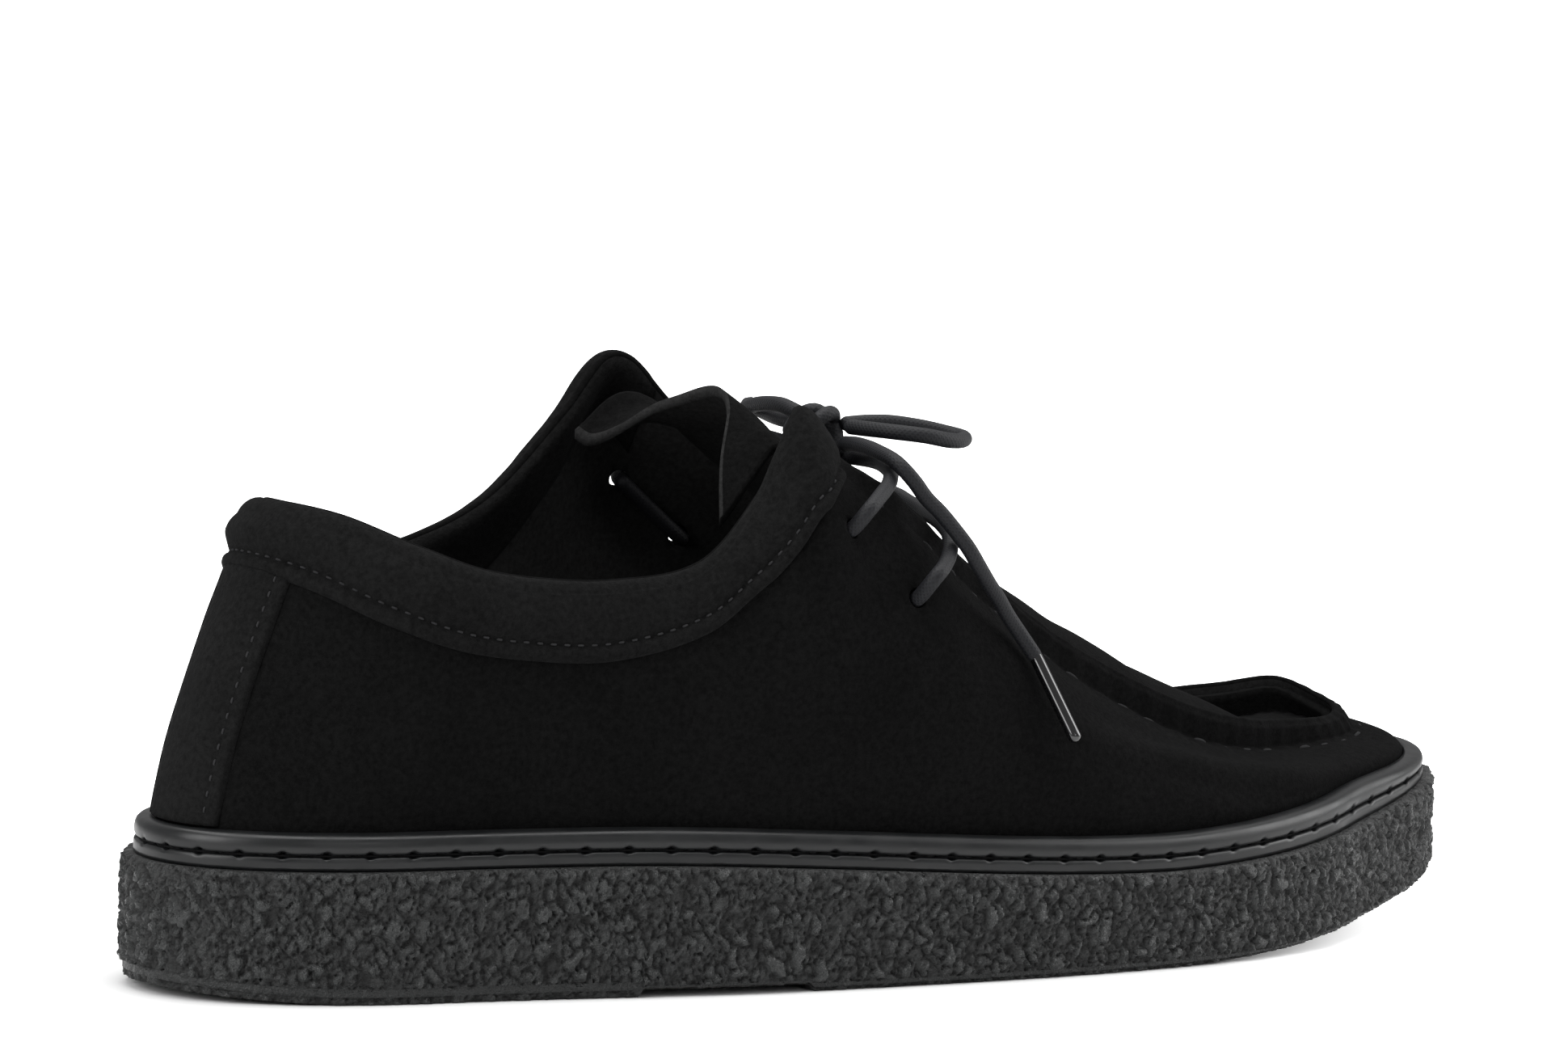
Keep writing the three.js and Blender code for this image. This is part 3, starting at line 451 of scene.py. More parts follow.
# Adds a node with its settings and links; stops are the places and colours of a ramp.
def addNode(tree, kind, inputs, stops=(), **settings):
    made = tree.nodes.new("ShaderNode" + kind)
    for name, value in settings.items():
        setattr(made, name, value)
    setInputs(tree, made, inputs)
    if stops:
        elements = made.color_ramp.elements
        while len(elements) < len(stops):
            elements.new(0.5)
        for element, (place, color) in zip(elements, stops):
            element.position = place
            element.color = srgb(color)
    return made


def newMaterial(name, color, roughness, gloss):
    material = bpy.data.materials.new(name)
    material.use_nodes = True
    tree = material.node_tree
    shader = tree.nodes["Principled BSDF"]
    inputs = {"Base Color": srgb(color), "Roughness": roughness, "Specular IOR Level": gloss}
    setInputs(tree, shader, inputs)
    material.diffuse_color = srgb(color)
    place = addNode(tree, "TexCoord", {}).outputs["Object"]
    return material, tree, shader, place


# Settings of a noise with grains of a size in millimetres.
def grainOf(place, size, detail, rough):
    return {"Vector": place, "Scale": 1 / (size * mm), "Detail": detail, "Roughness": rough}


# Suede: near-black leather with a short nap, brushed lighter in patches.
def makeSuede(name, dark, light, nap=1.0):
    material, tree, shader, place = newMaterial(name, dark, 1.0, 0.02)
    patches = addNode(tree, "TexNoise", grainOf(place, 26, 3, 0.55))
    grain = addNode(tree, "TexNoise", grainOf(place, 1.1, 5, 0.7))
    fibres = addNode(tree, "TexNoise", grainOf(place, 0.45, 3, 0.6))
    blend = addNode(tree, "Math", {0: patches, 1: grain, 2: grain}, operation="MULTIPLY_ADD")
    coarse = addNode(tree, "Bump", {"Height": grain, "Strength": 0.5 * nap, "Distance": 0.35 * mm})
    bump = {"Height": fibres, "Strength": 0.5 * nap, "Distance": 0.2 * mm, "Normal": coarse}
    inputs = {
        "Base Color": addNode(tree, "ValToRGB", {"Fac": blend}, [(0.5, dark), (1.05, light)]),
        "Sheen Weight": 0.012 * nap,
        "Sheen Roughness": 0.45,
        "Sheen Tint": srgb("#c8c8cc"),
        "Normal": addNode(tree, "Bump", bump),
    }
    setInputs(tree, shader, inputs)
    return material


# Rubber of the welt: smooth, half glossy, with faint scuffs.
def makeWeltRubber():
    material, tree, shader, place = newMaterial("welt rubber", "#121314", 0.32, 0.4)
    scuffs = addNode(tree, "TexNoise", grainOf(place, 9, 4, 0.6))
    pores = addNode(tree, "TexNoise", grainOf(place, 0.5, 2, 0.5))
    ends = {"From Min": 0.3, "From Max": 0.7, "To Min": 0.28, "To Max": 0.46}
    inputs = {
        "Roughness": addNode(tree, "MapRange", {"Value": scuffs, **ends}),
        "Normal": addNode(tree, "Bump", {"Height": pores, "Strength": 0.12, "Distance": 0.1 * mm}),
    }
    setInputs(tree, shader, inputs)
    return material


# Crumb rubber: pressed grains, with painted shade in the pits between them and lighter tops, and slightly
# shiny on top.
def makeCrumbRubber():
    material, tree, shader, place = newMaterial("crumb rubber", "#161818", 0.4, 0.5)
    height = addNode(tree, "Attribute", {}, attribute_name="grain height").outputs["Fac"]
    specks = addNode(tree, "TexNoise", grainOf(place, 1.6, 3, 0.6))
    both = addNode(tree, "Math", {0: specks, 1: 0.35, 2: height}, operation="MULTIPLY_ADD")
    lumps = addNode(tree, "TexNoise", grainOf(place, 0.9, 3, 0.6))
    pores = addNode(tree, "TexNoise", grainOf(place, 0.35, 2, 0.5))
    ends = {"From Min": 0.3, "From Max": 0.95, "To Min": 0.8, "To Max": 0.27}
    # Ramp of painted shade: near black in the pits between the grains, lighter on their tops.
    pitShadeRamp = [(0.3, "#010101"), (0.5, "#080909"), (1.05, "#1f2121")]
    coarse = addNode(tree, "Bump", {"Height": lumps, "Strength": 1.0, "Distance": 0.9 * mm})
    bump = {"Height": pores, "Strength": 0.4, "Distance": 0.15 * mm, "Normal": coarse}
    inputs = {
        "Base Color": addNode(tree, "ValToRGB", {"Fac": both}, pitShadeRamp),
        "Roughness": addNode(tree, "MapRange", {"Value": both, **ends}),
        "Normal": addNode(tree, "Bump", bump),
    }
    setInputs(tree, shader, inputs)
    return material


# Waxed round lace: a fine diagonal braid on the tube's own millimetre coordinates, with painted shade in the
# grooves between the strands.
def makeLaceCloth():
    material, tree, shader, _ = newMaterial("waxed lace", "#101114", 0.62, 0.3)
    layer = addNode(tree, "UVMap", {}, uv_map="millimetres")
    part = addNode(tree, "SeparateXYZ", {"Vector": layer})
    pitch = {"X": 0.9, "Y": 0.9425}
    waves = []
    for slant in (1, -1):
        turns = {axis: 2 * math.pi / (pitch[axis] * mm) for axis in pitch}
        along = addNode(tree, "Math", {0: part.outputs["X"], 1: turns["X"]}, operation="MULTIPLY")
        around = addNode(tree, "Math", {0: part.outputs["Y"], 1: slant * turns["Y"]}, operation="MULTIPLY")
        both = addNode(tree, "Math", {0: along, 1: around}, operation="ADD")
        waves.append(addNode(tree, "Math", {0: both}, operation="SINE"))
    braid = addNode(tree, "Math", dict(enumerate(waves)), operation="MAXIMUM")
    # Colour follows the braid: painted shade in the grooves, lighter on the strands.
    lit = addNode(tree, "MapRange", {"Value": braid, "From Min": -0.6})
    inputs = {
        "Base Color": addNode(tree, "ValToRGB", {"Fac": lit}, [(0, "#0b0b0e"), (1, "#141519")]),
        "Normal": addNode(tree, "Bump", {"Height": braid, "Strength": 0.3, "Distance": 0.1 * mm}),
    }
    setInputs(tree, shader, inputs)
    return material


# Hard shiny plastic of the lace tips.
def makeTipPlastic():
    material, tree, shader, place = newMaterial("tip plastic", "#0b0b0c", 0.12, 0.6)
    dents = addNode(tree, "TexNoise", grainOf(place, 2.2, 1, 0.4))
    bump = addNode(tree, "Bump", {"Height": dents, "Strength": 0.15, "Distance": 0.2 * mm})
    setInputs(tree, shader, {"Coat Weight": 0.6, "Normal": bump})
    return material


# Sewing thread, a little lighter than what it sews.
def makeThread(name, color):
    material, tree, shader, place = newMaterial(name, color, 0.8, 0.12)
    twist = addNode(tree, "TexNoise", grainOf(place, 0.3, 1, 0.5))
    bump = addNode(tree, "Bump", {"Height": twist, "Strength": 0.4, "Distance": 0.1 * mm})
    setInputs(tree, shader, {"Normal": bump})
    return material


suede = makeSuede("black suede", "#0a0a0a", "#131313")
bandSuede = makeSuede("brushed suede", "#101010", "#1b1b1b", 1.5)
edgeSuede = makeSuede("cut suede edge", "#1e1e1e", "#2c2c2c", 1.5)
lining = makeSuede("lining leather", "#1c1c1c", "#282828", 0.5)
weltRubber = makeWeltRubber()
crumbRubber = makeCrumbRubber()
laceCloth = makeLaceCloth()
tipPlastic = makeTipPlastic()
seamThread = makeThread("black thread", "#2b2b2c")
ridgeThread = makeThread("waxed black thread", "#222223")
weltThread = makeThread("welt thread", "#060607")
print("materials made")


def finishPiece(piece, materials, slotName, *nodes):
    for material in materials if isinstance(materials, tuple) else (materials,):
        piece.data.materials.append(material)
    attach(piece, "root")
    if nodes:
        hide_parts(*nodes)
    return piece


# Smooth line through a list of places, with a step in millimetres.
def smoothLine(places, step):
    places = np.array(places, dtype=float)
    lead = np.vstack([2 * places[0] - places[1], places, 2 * places[-1] - places[-2]])
    fine = []
    for index in range(1, len(lead) - 2):
        p0, p1, p2, p3 = lead[index - 1 : index + 3]
        knots = np.cumsum([0] + [np.linalg.norm(b - a) ** 0.5 for a, b in ((p0, p1), (p1, p2), (p2, p3))])
        t = np.linspace(knots[1], knots[2], 24, endpoint=False)[:, None]

        def blend(a, b, first, last):
            return mix(a, b, (t - knots[first]) / (knots[last] - knots[first]))

        a1, a2, a3 = blend(p0, p1, 0, 1), blend(p1, p2, 1, 2), blend(p2, p3, 2, 3)
        fine.append(blend(blend(a1, a2, 0, 2), blend(a2, a3, 1, 3), 1, 2))
    line = np.vstack(fine + [places[-1:]])
    run = runOf(line)
    count = max(int(round(run[-1] / step)), 2)
    return placesAt(np.linspace(0, run[-1], count + 1), run, line), run[-1]


# Round tube along a line, with its ends rounded off by a few smaller rings.
tubeEnd = [(0.95, 0.3), (0.7, 0.72), (0.3, 0.95)]


def makeTube(name, line, radius, sides=16):
    tangent = unit(np.gradient(line, axis=0))
    side = unit(np.cross(tangent[0], [0.3, 0.2, 1.0]))
    frames = []
    for along in tangent:
        side = unit(side - along * (side @ along))
        frames.append((side, np.cross(along, side)))
    angles = np.linspace(0, 2 * np.pi, sides, endpoint=False)[:, None]
    circles = [radius * (np.cos(angles) * right + np.sin(angles) * up) for right, up in frames]
    rings = [line[0] - tangent[0] * radius * out + circles[0] * wide for out, wide in tubeEnd]
    rings += [place + circle for place, circle in zip(line, circles)]
    rings += [line[-1] + tangent[-1] * radius * out + circles[-1] * wide for out, wide in tubeEnd[::-1]]
    piece = meshFromGrid(name, np.array(rings), False, True, True)
    faceOutwards(piece)
    return piece


lace = {"radius": 1.5, "tipRadius": 1.3, "step": 0.9}

# Places that the lace passes, as in the part, without those in the eyelets.
barRoute = [
    (-2.8, -43.9, 77.6), (0.5, -41.8, 79.2), (3.7, -38.8, 80.9), (6.4, -35.4, 82.6), (8.3, -31.8, 84.2),
    (10.2, -26.8, 85.3), (12.9, -20, 85.8), (16, -12, 86.1), (17.8, -5, 86.8), (18.8, 1.5, 87.7),
    (17, 10, 88.4), (14, 22, 87.8), (10, 32, 86.8), (5, 40.2, 84), (0, 45.6, 80.8),
]
outerStrandRoute = [
    (-15.7, -39.4, 90.3), (-11.3, -36.4, 92.3), (-6.2, -32, 94), (-2.1, -26.8, 95.4), (0.9, -21, 95.9),
    (4, -13, 96.1), (5.3, -6, 95.9), (4.4, -1.5, 95.9), (3.4, 1.5, 96),
]
innerStrandRoute = [
    (-16.5, 44.8, 90.4), (-11.5, 42, 93.6), (-6.5, 36.8, 96.8), (-2.5, 29.5, 98.2), (0.4, 21, 97.6),
    (1.8, 13, 96.8), (2.6, 6, 96.4), (3.4, 1.5, 96),
]
outerLoopRoute = [
    (4.2, -2.5, 102.3), (7.6, -3.6, 102.6), (11.8, -5.8, 102.7), (17.6, -8.4, 101.9),
    (21.9, -11, 100.9), (23.3, -14, 100.4), (20.9, -18, 100.3), (15.3, -21.5, 100.7),
    (9.4, -21.5, 101.8), (4.6, -17.5, 102.3), (2.8, -12, 102.3), (2.1, -7, 102.2),
]
innerLoopRoute = [
    (-1.8, 5.9, 103.9), (-1.8, 11, 104.7), (-1.4, 16, 104.5), (-0.7, 21.5, 103.7), (0, 25.5, 102.7),
    (2.2, 28, 103), (3.4, 25, 101.8), (2.6, 18, 101.2), (1.4, 11, 101.4), (0.6, 7.2, 101.4),
]
outerEndRoute = [
    (1.6, -6, 98.9), (0.1, -12, 99.4), (-2.3, -22, 99.3), (-3.7, -31.8, 97.7), (-1.5, -33.8, 94.7),
    (1, -34.4, 91.5), (3.1, -36.2, 88.9), (5, -38.2, 85.9), (7.3, -40, 82.3), (10.2, -39.8, 78.5),
    (13, -39, 75.3), (16.2, -38, 72), (18.8, -37.4, 68.8), (21.6, -37.4, 65.4), (23.5, -38.4, 62.4),
    (24.3, -39, 61),
]
innerEndRoute = [
    (4.7, 3.4, 101.2), (8, 8, 101.6), (10.6, 14.5, 100.6), (12.4, 22, 98), (13.8, 29, 94),
    (15, 35.5, 88.5), (16.4, 40.6, 81.6), (18, 44, 74.4), (20, 46.2, 68), (21.4, 47.4, 64),
]
outerTipRoute = [(24.6, -39.4, 60.4), (27.6, -48.6, 46.3)]
innerTipRoute = [(21.6, 47.6, 63.2), (24.4, 50.2, 47.6)]
knotCentre = (-1.3, 0.4, 102)


# Three wraps of lace, one over the other.
def makeKnot():
    radius = lace["radius"]
    centre = np.array(knotCentre)
    wraps = [
        [
            (-4.2, -2.6, -2.2), (-2.4, -3.6, 0.8), (0.4, -3.4, 2.4), (2.8, -1.8, 2), (3.9, 0.2, -0.6),
            (3.2, 1.6, -3.4),
        ],
        [
            (-3.6, 3.2, -1.2), (-1.8, 2.4, 1.6), (0.6, 1.2, 2.6), (2.6, 0.2, 1.4), (3.6, -1.8, -1.4),
            (3, -2.6, -4.2),
        ],
        [(-4.4, 0.4, -1.6), (-2.8, 0, 0.8), (0, 3.2, 0.8), (3.4, 3.4, -1), (2.4, 1.6, -4.4)],
    ]
    made = [smoothLine(centre + np.array(wrap), 0.7)[0] for wrap in wraps]
    made = [makeTube("knot_wrap_" + str(index + 1), line, radius) for index, line in enumerate(made)]
    finishPiece(made[0], laceCloth, "lace", "bow_knot")
    for piece in made[1:]:
        finishPiece(piece, laceCloth, "lace")
    return made


def makeLace():
    step, radius = lace["step"], lace["radius"]
    knot = makeKnot()
    for name, route, node, farEnd, tipRoute in (
        ("outer_bow_loop", outerLoopRoute, "bow_loop_outer", "object", None),
        ("inner_bow_loop", innerLoopRoute, "bow_loop_inner", "object", None),
        ("outer_lace_end", outerEndRoute, "lace_end_outer", "fitting", outerTipRoute),
        ("inner_lace_end", innerEndRoute, "lace_end_inner", "fitting", innerTipRoute),
    ):
        line, length = smoothLine(route, step)
        piece = finishPiece(makeTube(name, line, radius), laceCloth, "lace", node)
        others = []
        if tipRoute:
            tipLine, _ = smoothLine(tipRoute, step)
            tipLine = np.vstack([line[-1] + (tipLine[0] - line[-1]) * 0.1, tipLine])
            tip = makeTube(name.replace("lace_end", "lace_tip"), tipLine, lace["tipRadius"], 20)
            finishPiece(tip, tipPlastic, "lace_tip", node.replace("lace_end", "aglet"))
            others = [tip]
        if node == "lace_end_outer":
            others += knot
    print("loose lace made")


makeLace()


# The held lace: through the outer and inner eyelets, with short runs inside the quarters.
eyelets = {
    "outerHigh": (0.2175, 0.69),
    "outerLow": (0.238, 0.61),
    "innerHigh": (0.782, 0.665),
    "innerLow": (0.7615, 0.65),
}

# The lace lies against the front of each hole.
laceSlack = 0.4


def eyeletPlace(name, distance):
    at, up = eyelets[name]
    return tuple(besideWall([at], [up], distance)[0, 0] + np.array([laceSlack, 0, 0]))


def makeHeldLace():
    step, radius = lace["step"], lace["radius"]
    bar = [
        eyeletPlace("outerHigh", -3.9),
        eyeletPlace("outerLow", -3.6),
        eyeletPlace("outerLow", -0.6),
        *barRoute,
        eyeletPlace("innerLow", -0.6),
        eyeletPlace("innerLow", -3.3),
        eyeletPlace("innerHigh", -3.6),
    ]
    line, _ = smoothLine(bar, step)
    finishPiece(makeTube("lace_bar_run", line, radius), laceCloth, "lace", "lace_bar")
    for name, route, eyelet, nodes in (
        ("outer_crossing_strand", outerStrandRoute, "outerHigh", ("lace_crossing",)),
        ("inner_crossing_strand", innerStrandRoute, "innerHigh", ()),
    ):
        line, _ = smoothLine([eyeletPlace(eyelet, -3.6), eyeletPlace(eyelet, -0.6), *route], step)
        finishPiece(makeTube(name, line, radius), laceCloth, "lace", *nodes)
    print("held lace made")


makeHeldLace()


# Upper: outer skin, rounded edge and inner skin in one closed piece, with the eyelets cut.
upper = {
    "stations": 660,
    "footRows": 6,
    "outerRows": 78,
    "innerRows": 30,
    "pucker": 0.12,
    "puckerPitch": 7.5,
    "eyeletRadius": 1.95,
}

# Soft troughs and ridges placed on the outer face: width, depth and a line of places.
creases = [
    (3.6, 0.9, [
        (26, -43, 49), (42, -42, 42.5), (58, -39, 39.6), (74, -36.4, 36.4), (93, -32, 34), (112, -23, 33.7),
    ]),
    (3.6, -1.1, [(30, -41, 54), (56, -37, 45), (80, -32, 41), (100, -25, 39), (118, -14, 39)]),
    (3.0, -0.8, [(50, -43, 37), (74, -40, 32), (96, -34, 30.5), (114, -26, 30)]),
    (4.0, -0.6, [(-8, -42, 76), (-2, -45, 66), (2, -47, 56)]),
    (5.0, -0.5, [(6, -38, 74), (12, -42, 62), (16, -45, 52)]),
    (6.0, -0.4, [(-22, -44, 80), (-20, -48, 66), (-16, -49, 52)]),
    (9.0, -0.5, [(-96, -35, 62), (-84, -39, 52), (-66, -43, 46)]),
    (8.0, 0.5, [(-118, -24, 44), (-104, -32, 40), (-86, -38, 40)]),
    (5.0, -0.6, [(-10, 44, 76), (-2, 46, 64), (4, 47, 54)]),
    (4.5, -0.6, [(70, 44, 44), (92, 42, 38), (112, 34, 36), (126, 22, 37)]),
]


# Wave of the gathers along the ridge.
def gathers(ats):
    return np.cos(2 * np.pi * ats * perimeter / upper["puckerPitch"])[:, None]


def makeUpper():
    ats = np.arange(upper["stations"]) / upper["stations"]
    footUps = np.linspace(0, weltShare, upper["footRows"], endpoint=False)
    outerUps = np.concatenate([footUps, np.linspace(weltShare, 1, upper["outerRows"])])
    innerUps = np.linspace(1, 0, upper["innerRows"])
    outerGrid = wallPoints(ats, outerUps)
    normals = wallNormals(ats, outerUps)
    move = np.zeros(outerGrid.shape[:2])
    for width, depth, line in creases:
        move += fold(outerGrid, line, width, depth)
    move += 0.16 * relief(outerGrid, 17.0) + 0.08 * relief(outerGrid, 6.0, 9.0)
    onRidge = (np.abs(ats - 0.5) < 0.27)[:, None] * smooth((outerUps - 0.66) / 0.2)
    move += upper["pucker"] * gathers(ats) * onRidge
    move *= smooth((outerUps - weltShare) / 0.08)
    roundShare = smooth((1 - outerUps) / 0.035)
    move -= 0.55 * (1 - roundShare)
    outerSkin = outerGrid + normals * move[..., None]
    topNormal = normals[:, -1]
    topMove = move[:, -1]
    rising = unit(wallPoints(ats, [1.0])[:, 0] - wallPoints(ats, [0.97])[:, 0])
    centre = wallPoints(ats, [1.0])[:, 0] + topNormal * ((topMove - wall) / 2)[:, None]
    rim = roundOver(centre, topNormal, rising, (wall + topMove) / 2, 0.7, 8)
    innerSkin = besideWall(ats, innerUps, -wall)
    grid = np.concatenate([outerSkin, rim, innerSkin], axis=1)
    kinds = np.zeros(grid.shape[1], dtype=int)
    kinds[-upper["innerRows"] :] = 1
    piece = meshFromGrid("suede_upper", grid, True, True, kinds=kinds)
    faceOutwards(piece)
    punches = []
    for name in eyelets:
        at, up = eyelets[name]
        middle = Vector(besideWall([at], [up], -wall / 2)[0, 0] * mm)
        aim = Vector(wallNormals([at], [up])[0, 0])
        bpy.ops.object.select_all(action="DESELECT")
        radius, depth = upper["eyeletRadius"] * mm, 6 * wall * mm
        bpy.ops.mesh.primitive_cylinder_add(vertices=32, radius=radius, depth=depth, location=middle)
        punch = bpy.context.active_object
        punch.rotation_mode = "QUATERNION"
        punch.rotation_quaternion = aim.to_track_quat("Z", "Y")
        punches.append(punch)
    pickOnly(*punches)
    bpy.ops.object.join()
    cut = piece.modifiers.new("eyelets", "BOOLEAN")
    cut.operation = "DIFFERENCE"
    cut.object = punches[0]
    applyModifiers(piece)
    bpy.data.objects.remove(punches[0])
    finishPiece(piece, (suede, lining), "suede", "upper")
    print("upper made", len(piece.data.polygons))


makeUpper()

# Collar band: padded strip round the opening, folded over the edge.
band = {
    "thickness": 1.5,
    "drop": 17.0,
    "start": -0.219,
    "end": 0.219,
    "columns": 520,
    "rows": 34,
    "backRows": 12,
    "stitch": 3.4,
    "pad": 0.5,
    "heelPad": 1.6,
    "innerPad": 2.2,
    "innerDrop": 16.0,
    "rollStart": 2.2,
}
bandRows = [
    (-0.22, 0.35), (-0.21, 1.1), (-0.2, 1.25), (-0.18, 0.95), (-0.14, 0.88), (-0.06, 0.92), (0, 0.83),
    (0.06, 0.92), (0.11, 0.9), (0.14, 0.88), (0.165, 0.8), (0.18, 0.86), (0.19, 1.01), (0.2, 1.26),
    (0.208, 1.32), (0.214, 0.9), (0.22, 0.4),
]


def bandDrop(ats):
    return band["drop"] * follow(bandRows, 1, ats)


def makeBand():
    ats = np.linspace(band["start"], band["end"], band["columns"])
    drops = bandDrop(ats)
    atHeel = np.exp(-((ats / 0.09) ** 2))
    padding = 0.5 + 0.5 * atHeel
    rollStart = band["rollStart"] * (1 + 0.9 * atHeel)
    ends = smooth((ats - band["start"]) / 0.0025) * smooth((band["end"] - ats) / 0.0025)
    share = np.linspace(0, 1, band["rows"])
    # Distances below the edge, from the band's lower edge to the start of the roll.
    down = np.maximum(drops[:, None] * (1 - share[None, :] ** 0.9), rollStart[:, None])
    ups = upsBelow(ats, down)
    base = wallPoints(ats, ups)
    normal = wallNormals(ats, ups)
    height = drops[:, None] - down
    lift = band["thickness"] * smooth((height + 0.4) / 1.6) ** 0.5
    lift = lift + 0.5 * padding[:, None] * np.exp(-(((height - 1.7) / 1.3) ** 2))
    bulge = smooth((height - band["stitch"]) / 4.0) * smooth((down - 0.5) / 6.0)
    lift = lift + (band["pad"] + band["heelPad"] * atHeel)[:, None] * bulge
    lift = lift - 0.65 * np.exp(-(((height - band["stitch"]) / 0.6) ** 2))
    lift = lift + 0.16 * relief(base, 9.0, 3.0) + 0.1 * relief(base, 4.0, 6.0)
    lift = lift * ends[:, None] + 0.02
    outside = base + normal * lift[..., None]
    top = base[:, -1]
    topNormal = normal[:, -1]
    rising = unit(wallPoints(ats, [1.0])[:, 0] - top)
    inner = wall + 0.4 + band["innerPad"] * padding * ends
    reach = (lift[:, -1] + inner) / 2
    centre = top + topNormal * ((lift[:, -1] - inner) / 2)[:, None]
    roll = roundOver(centre, topNormal, rising, reach, rollStart + 0.2 + 0.3 * padding, 16)
    innerDown = mix(rollStart[:, None], band["innerDrop"], np.linspace(0, 1, band["backRows"])[None, :])
    innerUps = upsBelow(ats, innerDown)
    thinner = smooth((innerDown - 4) / (band["innerDrop"] - 4))
    innerLift = inner[:, None] - (inner - wall - 0.2)[:, None] * thinner
    back = besideWall(ats, innerUps, -innerLift)
    sink = besideWall(ats, innerUps[:, -1:], -wall * 0.5)
    hidden = besideWall(ats, ups[:, :1], -wall * 0.5)
    grid = np.concatenate([outside, roll, back, sink, hidden], axis=1)
    piece = meshFromGrid("collar_band_skin", grid, False, True, True)
    faceOutwards(piece)
    finishPiece(piece, bandSuede, "suede", "collar_band")
    print("band made", len(piece.data.polygons))


makeBand()

# Heel strip: over the back seam, with rounded edges.
strip = {"half": 15.5, "thickness": 1.3, "columns": 60, "rows": 90, "stitch": 3.6}


def makeStrip():
    half = strip["half"] / perimeter
    ats = np.linspace(-half, half, strip["columns"])
    drops = bandDrop(ats)
    headUps = upsBelow(ats, drops - 0.6)
    share = np.linspace(0, 1, strip["rows"])
    ups = mix(np.full(len(ats), weltShare + 0.004)[:, None], headUps[:, None], share[None, :])
    base = wallPoints(ats, ups)
    away = (strip["half"] - np.abs(ats) * perimeter)[:, None]
    lift = strip["thickness"] * smooth((away + 0.3) / 1.3) ** 0.5
    lift = lift - 0.3 * np.exp(-(((away - strip["stitch"]) / 0.5) ** 2))
    lift = lift + 0.25 * smooth((away - strip["stitch"] - 1) / 3) + 0.1 * relief(base, 8.0, 5.0)
    front = base + wallNormals(ats, ups) * lift[..., None]
    back = besideWall(ats, ups, -wall * 0.5)
    ring = np.concatenate([front, back[:, ::-1]], axis=1)
    piece = meshFromGrid("heel_strip_skin", ring, False, True, True)
    faceOutwards(piece)
    finishPiece(piece, bandSuede, "suede", "heel_strip")
    print("strip made")


makeStrip()

# Apron: plug over the toes, gathered along its edge and turned up inside the lip.
apron = {"thickness": 2.0, "start": 0.272, "spineEnd": 112.0, "stations": 240, "across": 26, "pucker": 0.15}
crownRows = [
    (-45, 2.34), (-28, 2.22), (0, 1.88), (18, 1.67), (30, 1.53), (46, 1.35), (60, 1.205),
    (80, 1.01), (98, 0.87), (112, 0.76), (130, 0.7),
]


def crown(x):
    return ridge * follow(crownRows, 1, x)


def apronMiddle(ats, depth):
    ats = np.asarray(ats, dtype=float)
    return (besideWall(ats, [lipShare], -depth)[:, 0] + besideWall(1 - ats, [lipShare], -depth)[:, 0]) / 2


spineRoot = apronMiddle([apron["start"]], wall)[0]
spineTip = apronMiddle([0.5], wall)[0]


def spine(x):
    share = np.clip((x - spineRoot[0]) / (apron["spineEnd"] - spineRoot[0]), 0, 1)
    return mix(spineRoot[1], spineTip[1], share**2)


def apronFace(ats, depth):
    inner = wall + gap + depth
    top = besideWall(ats, [1.0], -inner)[:, 0]
    base = besideWall(ats, [lipShare], -inner)[:, 0]
    x = np.minimum(apronMiddle(ats, inner)[:, 0], apron["spineEnd"])
    middle = np.stack([x, spine(x), crown(x) - depth], axis=-1)
    rows = [mix(base, top, share) for share in (0.8, 0.62, 0.4, 0.2)]
    for across in np.linspace(0, 1, apron["across"]) ** 1.15:
        ease = math.sin(across * math.pi / 2)
        flat = mix(base, middle, across)
        flat[:, 2] = mix(base[:, 2], middle[:, 2], ease)
        rows.append(flat)
    return np.stack(rows, axis=1)


def makeApron():
    ats = np.linspace(apron["start"], 1 - apron["start"], apron["stations"] + 1)
    front = apronFace(ats, 0.0)
    across = np.linspace(0, 1, apron["across"]) ** 1.15
    fade = np.concatenate([[0.5, 0.8, 1, 1], np.exp(-((across / 0.3) ** 2))])[None, :]
    ends = smooth(np.minimum(ats - apron["start"], 1 - apron["start"] - ats)[:, None] / 0.01)
    front[..., 2] += apron["pucker"] * gathers(ats) * fade * ends
    front[..., 2] += 0.2 * relief(front, 14.0, 2.0) * (1 - fade)
    for width, depth, line in (
        (5.0, -0.7, [(40, -22, 64), (52, -8, 66), (60, 8, 62)]),
        (5.0, -0.6, [(62, 20, 50), (72, 6, 54), (78, -8, 52)]),
    ):
        front[..., 2] += fold(front, line, width, depth)
    back = apronFace(ats, apron["thickness"])
    grid = np.concatenate([front, back[:, ::-1]], axis=1)
    piece = meshFromGrid("apron_skin", grid, False, True, True)
    weld = piece.modifiers.new("weld", "WELD")
    weld.merge_threshold = 0.02 * mm
    applyModifiers(piece)
    faceOutwards(piece)
    finishPiece(piece, suede, "suede", "apron")
    print("apron made", len(piece.data.polygons))


makeApron()

# Tongue: soft arched flap with a cut edge.
tongue = {"thickness": 1.8, "half": 16.0, "root": 28.0, "sides": 120, "alongs": 70}
tongueRows = [
    (-1, -40, -25, 88), (-0.75, -37, -20, 98), (-0.45, -31, -13, 107.5), (-0.1, -28, -4, 110.5),
    (0.25, -31, 7, 107.5), (0.6, -37, 16, 101), (0.85, -39.5, 21.5, 98.6), (1, -40.5, 25, 99.5),
]


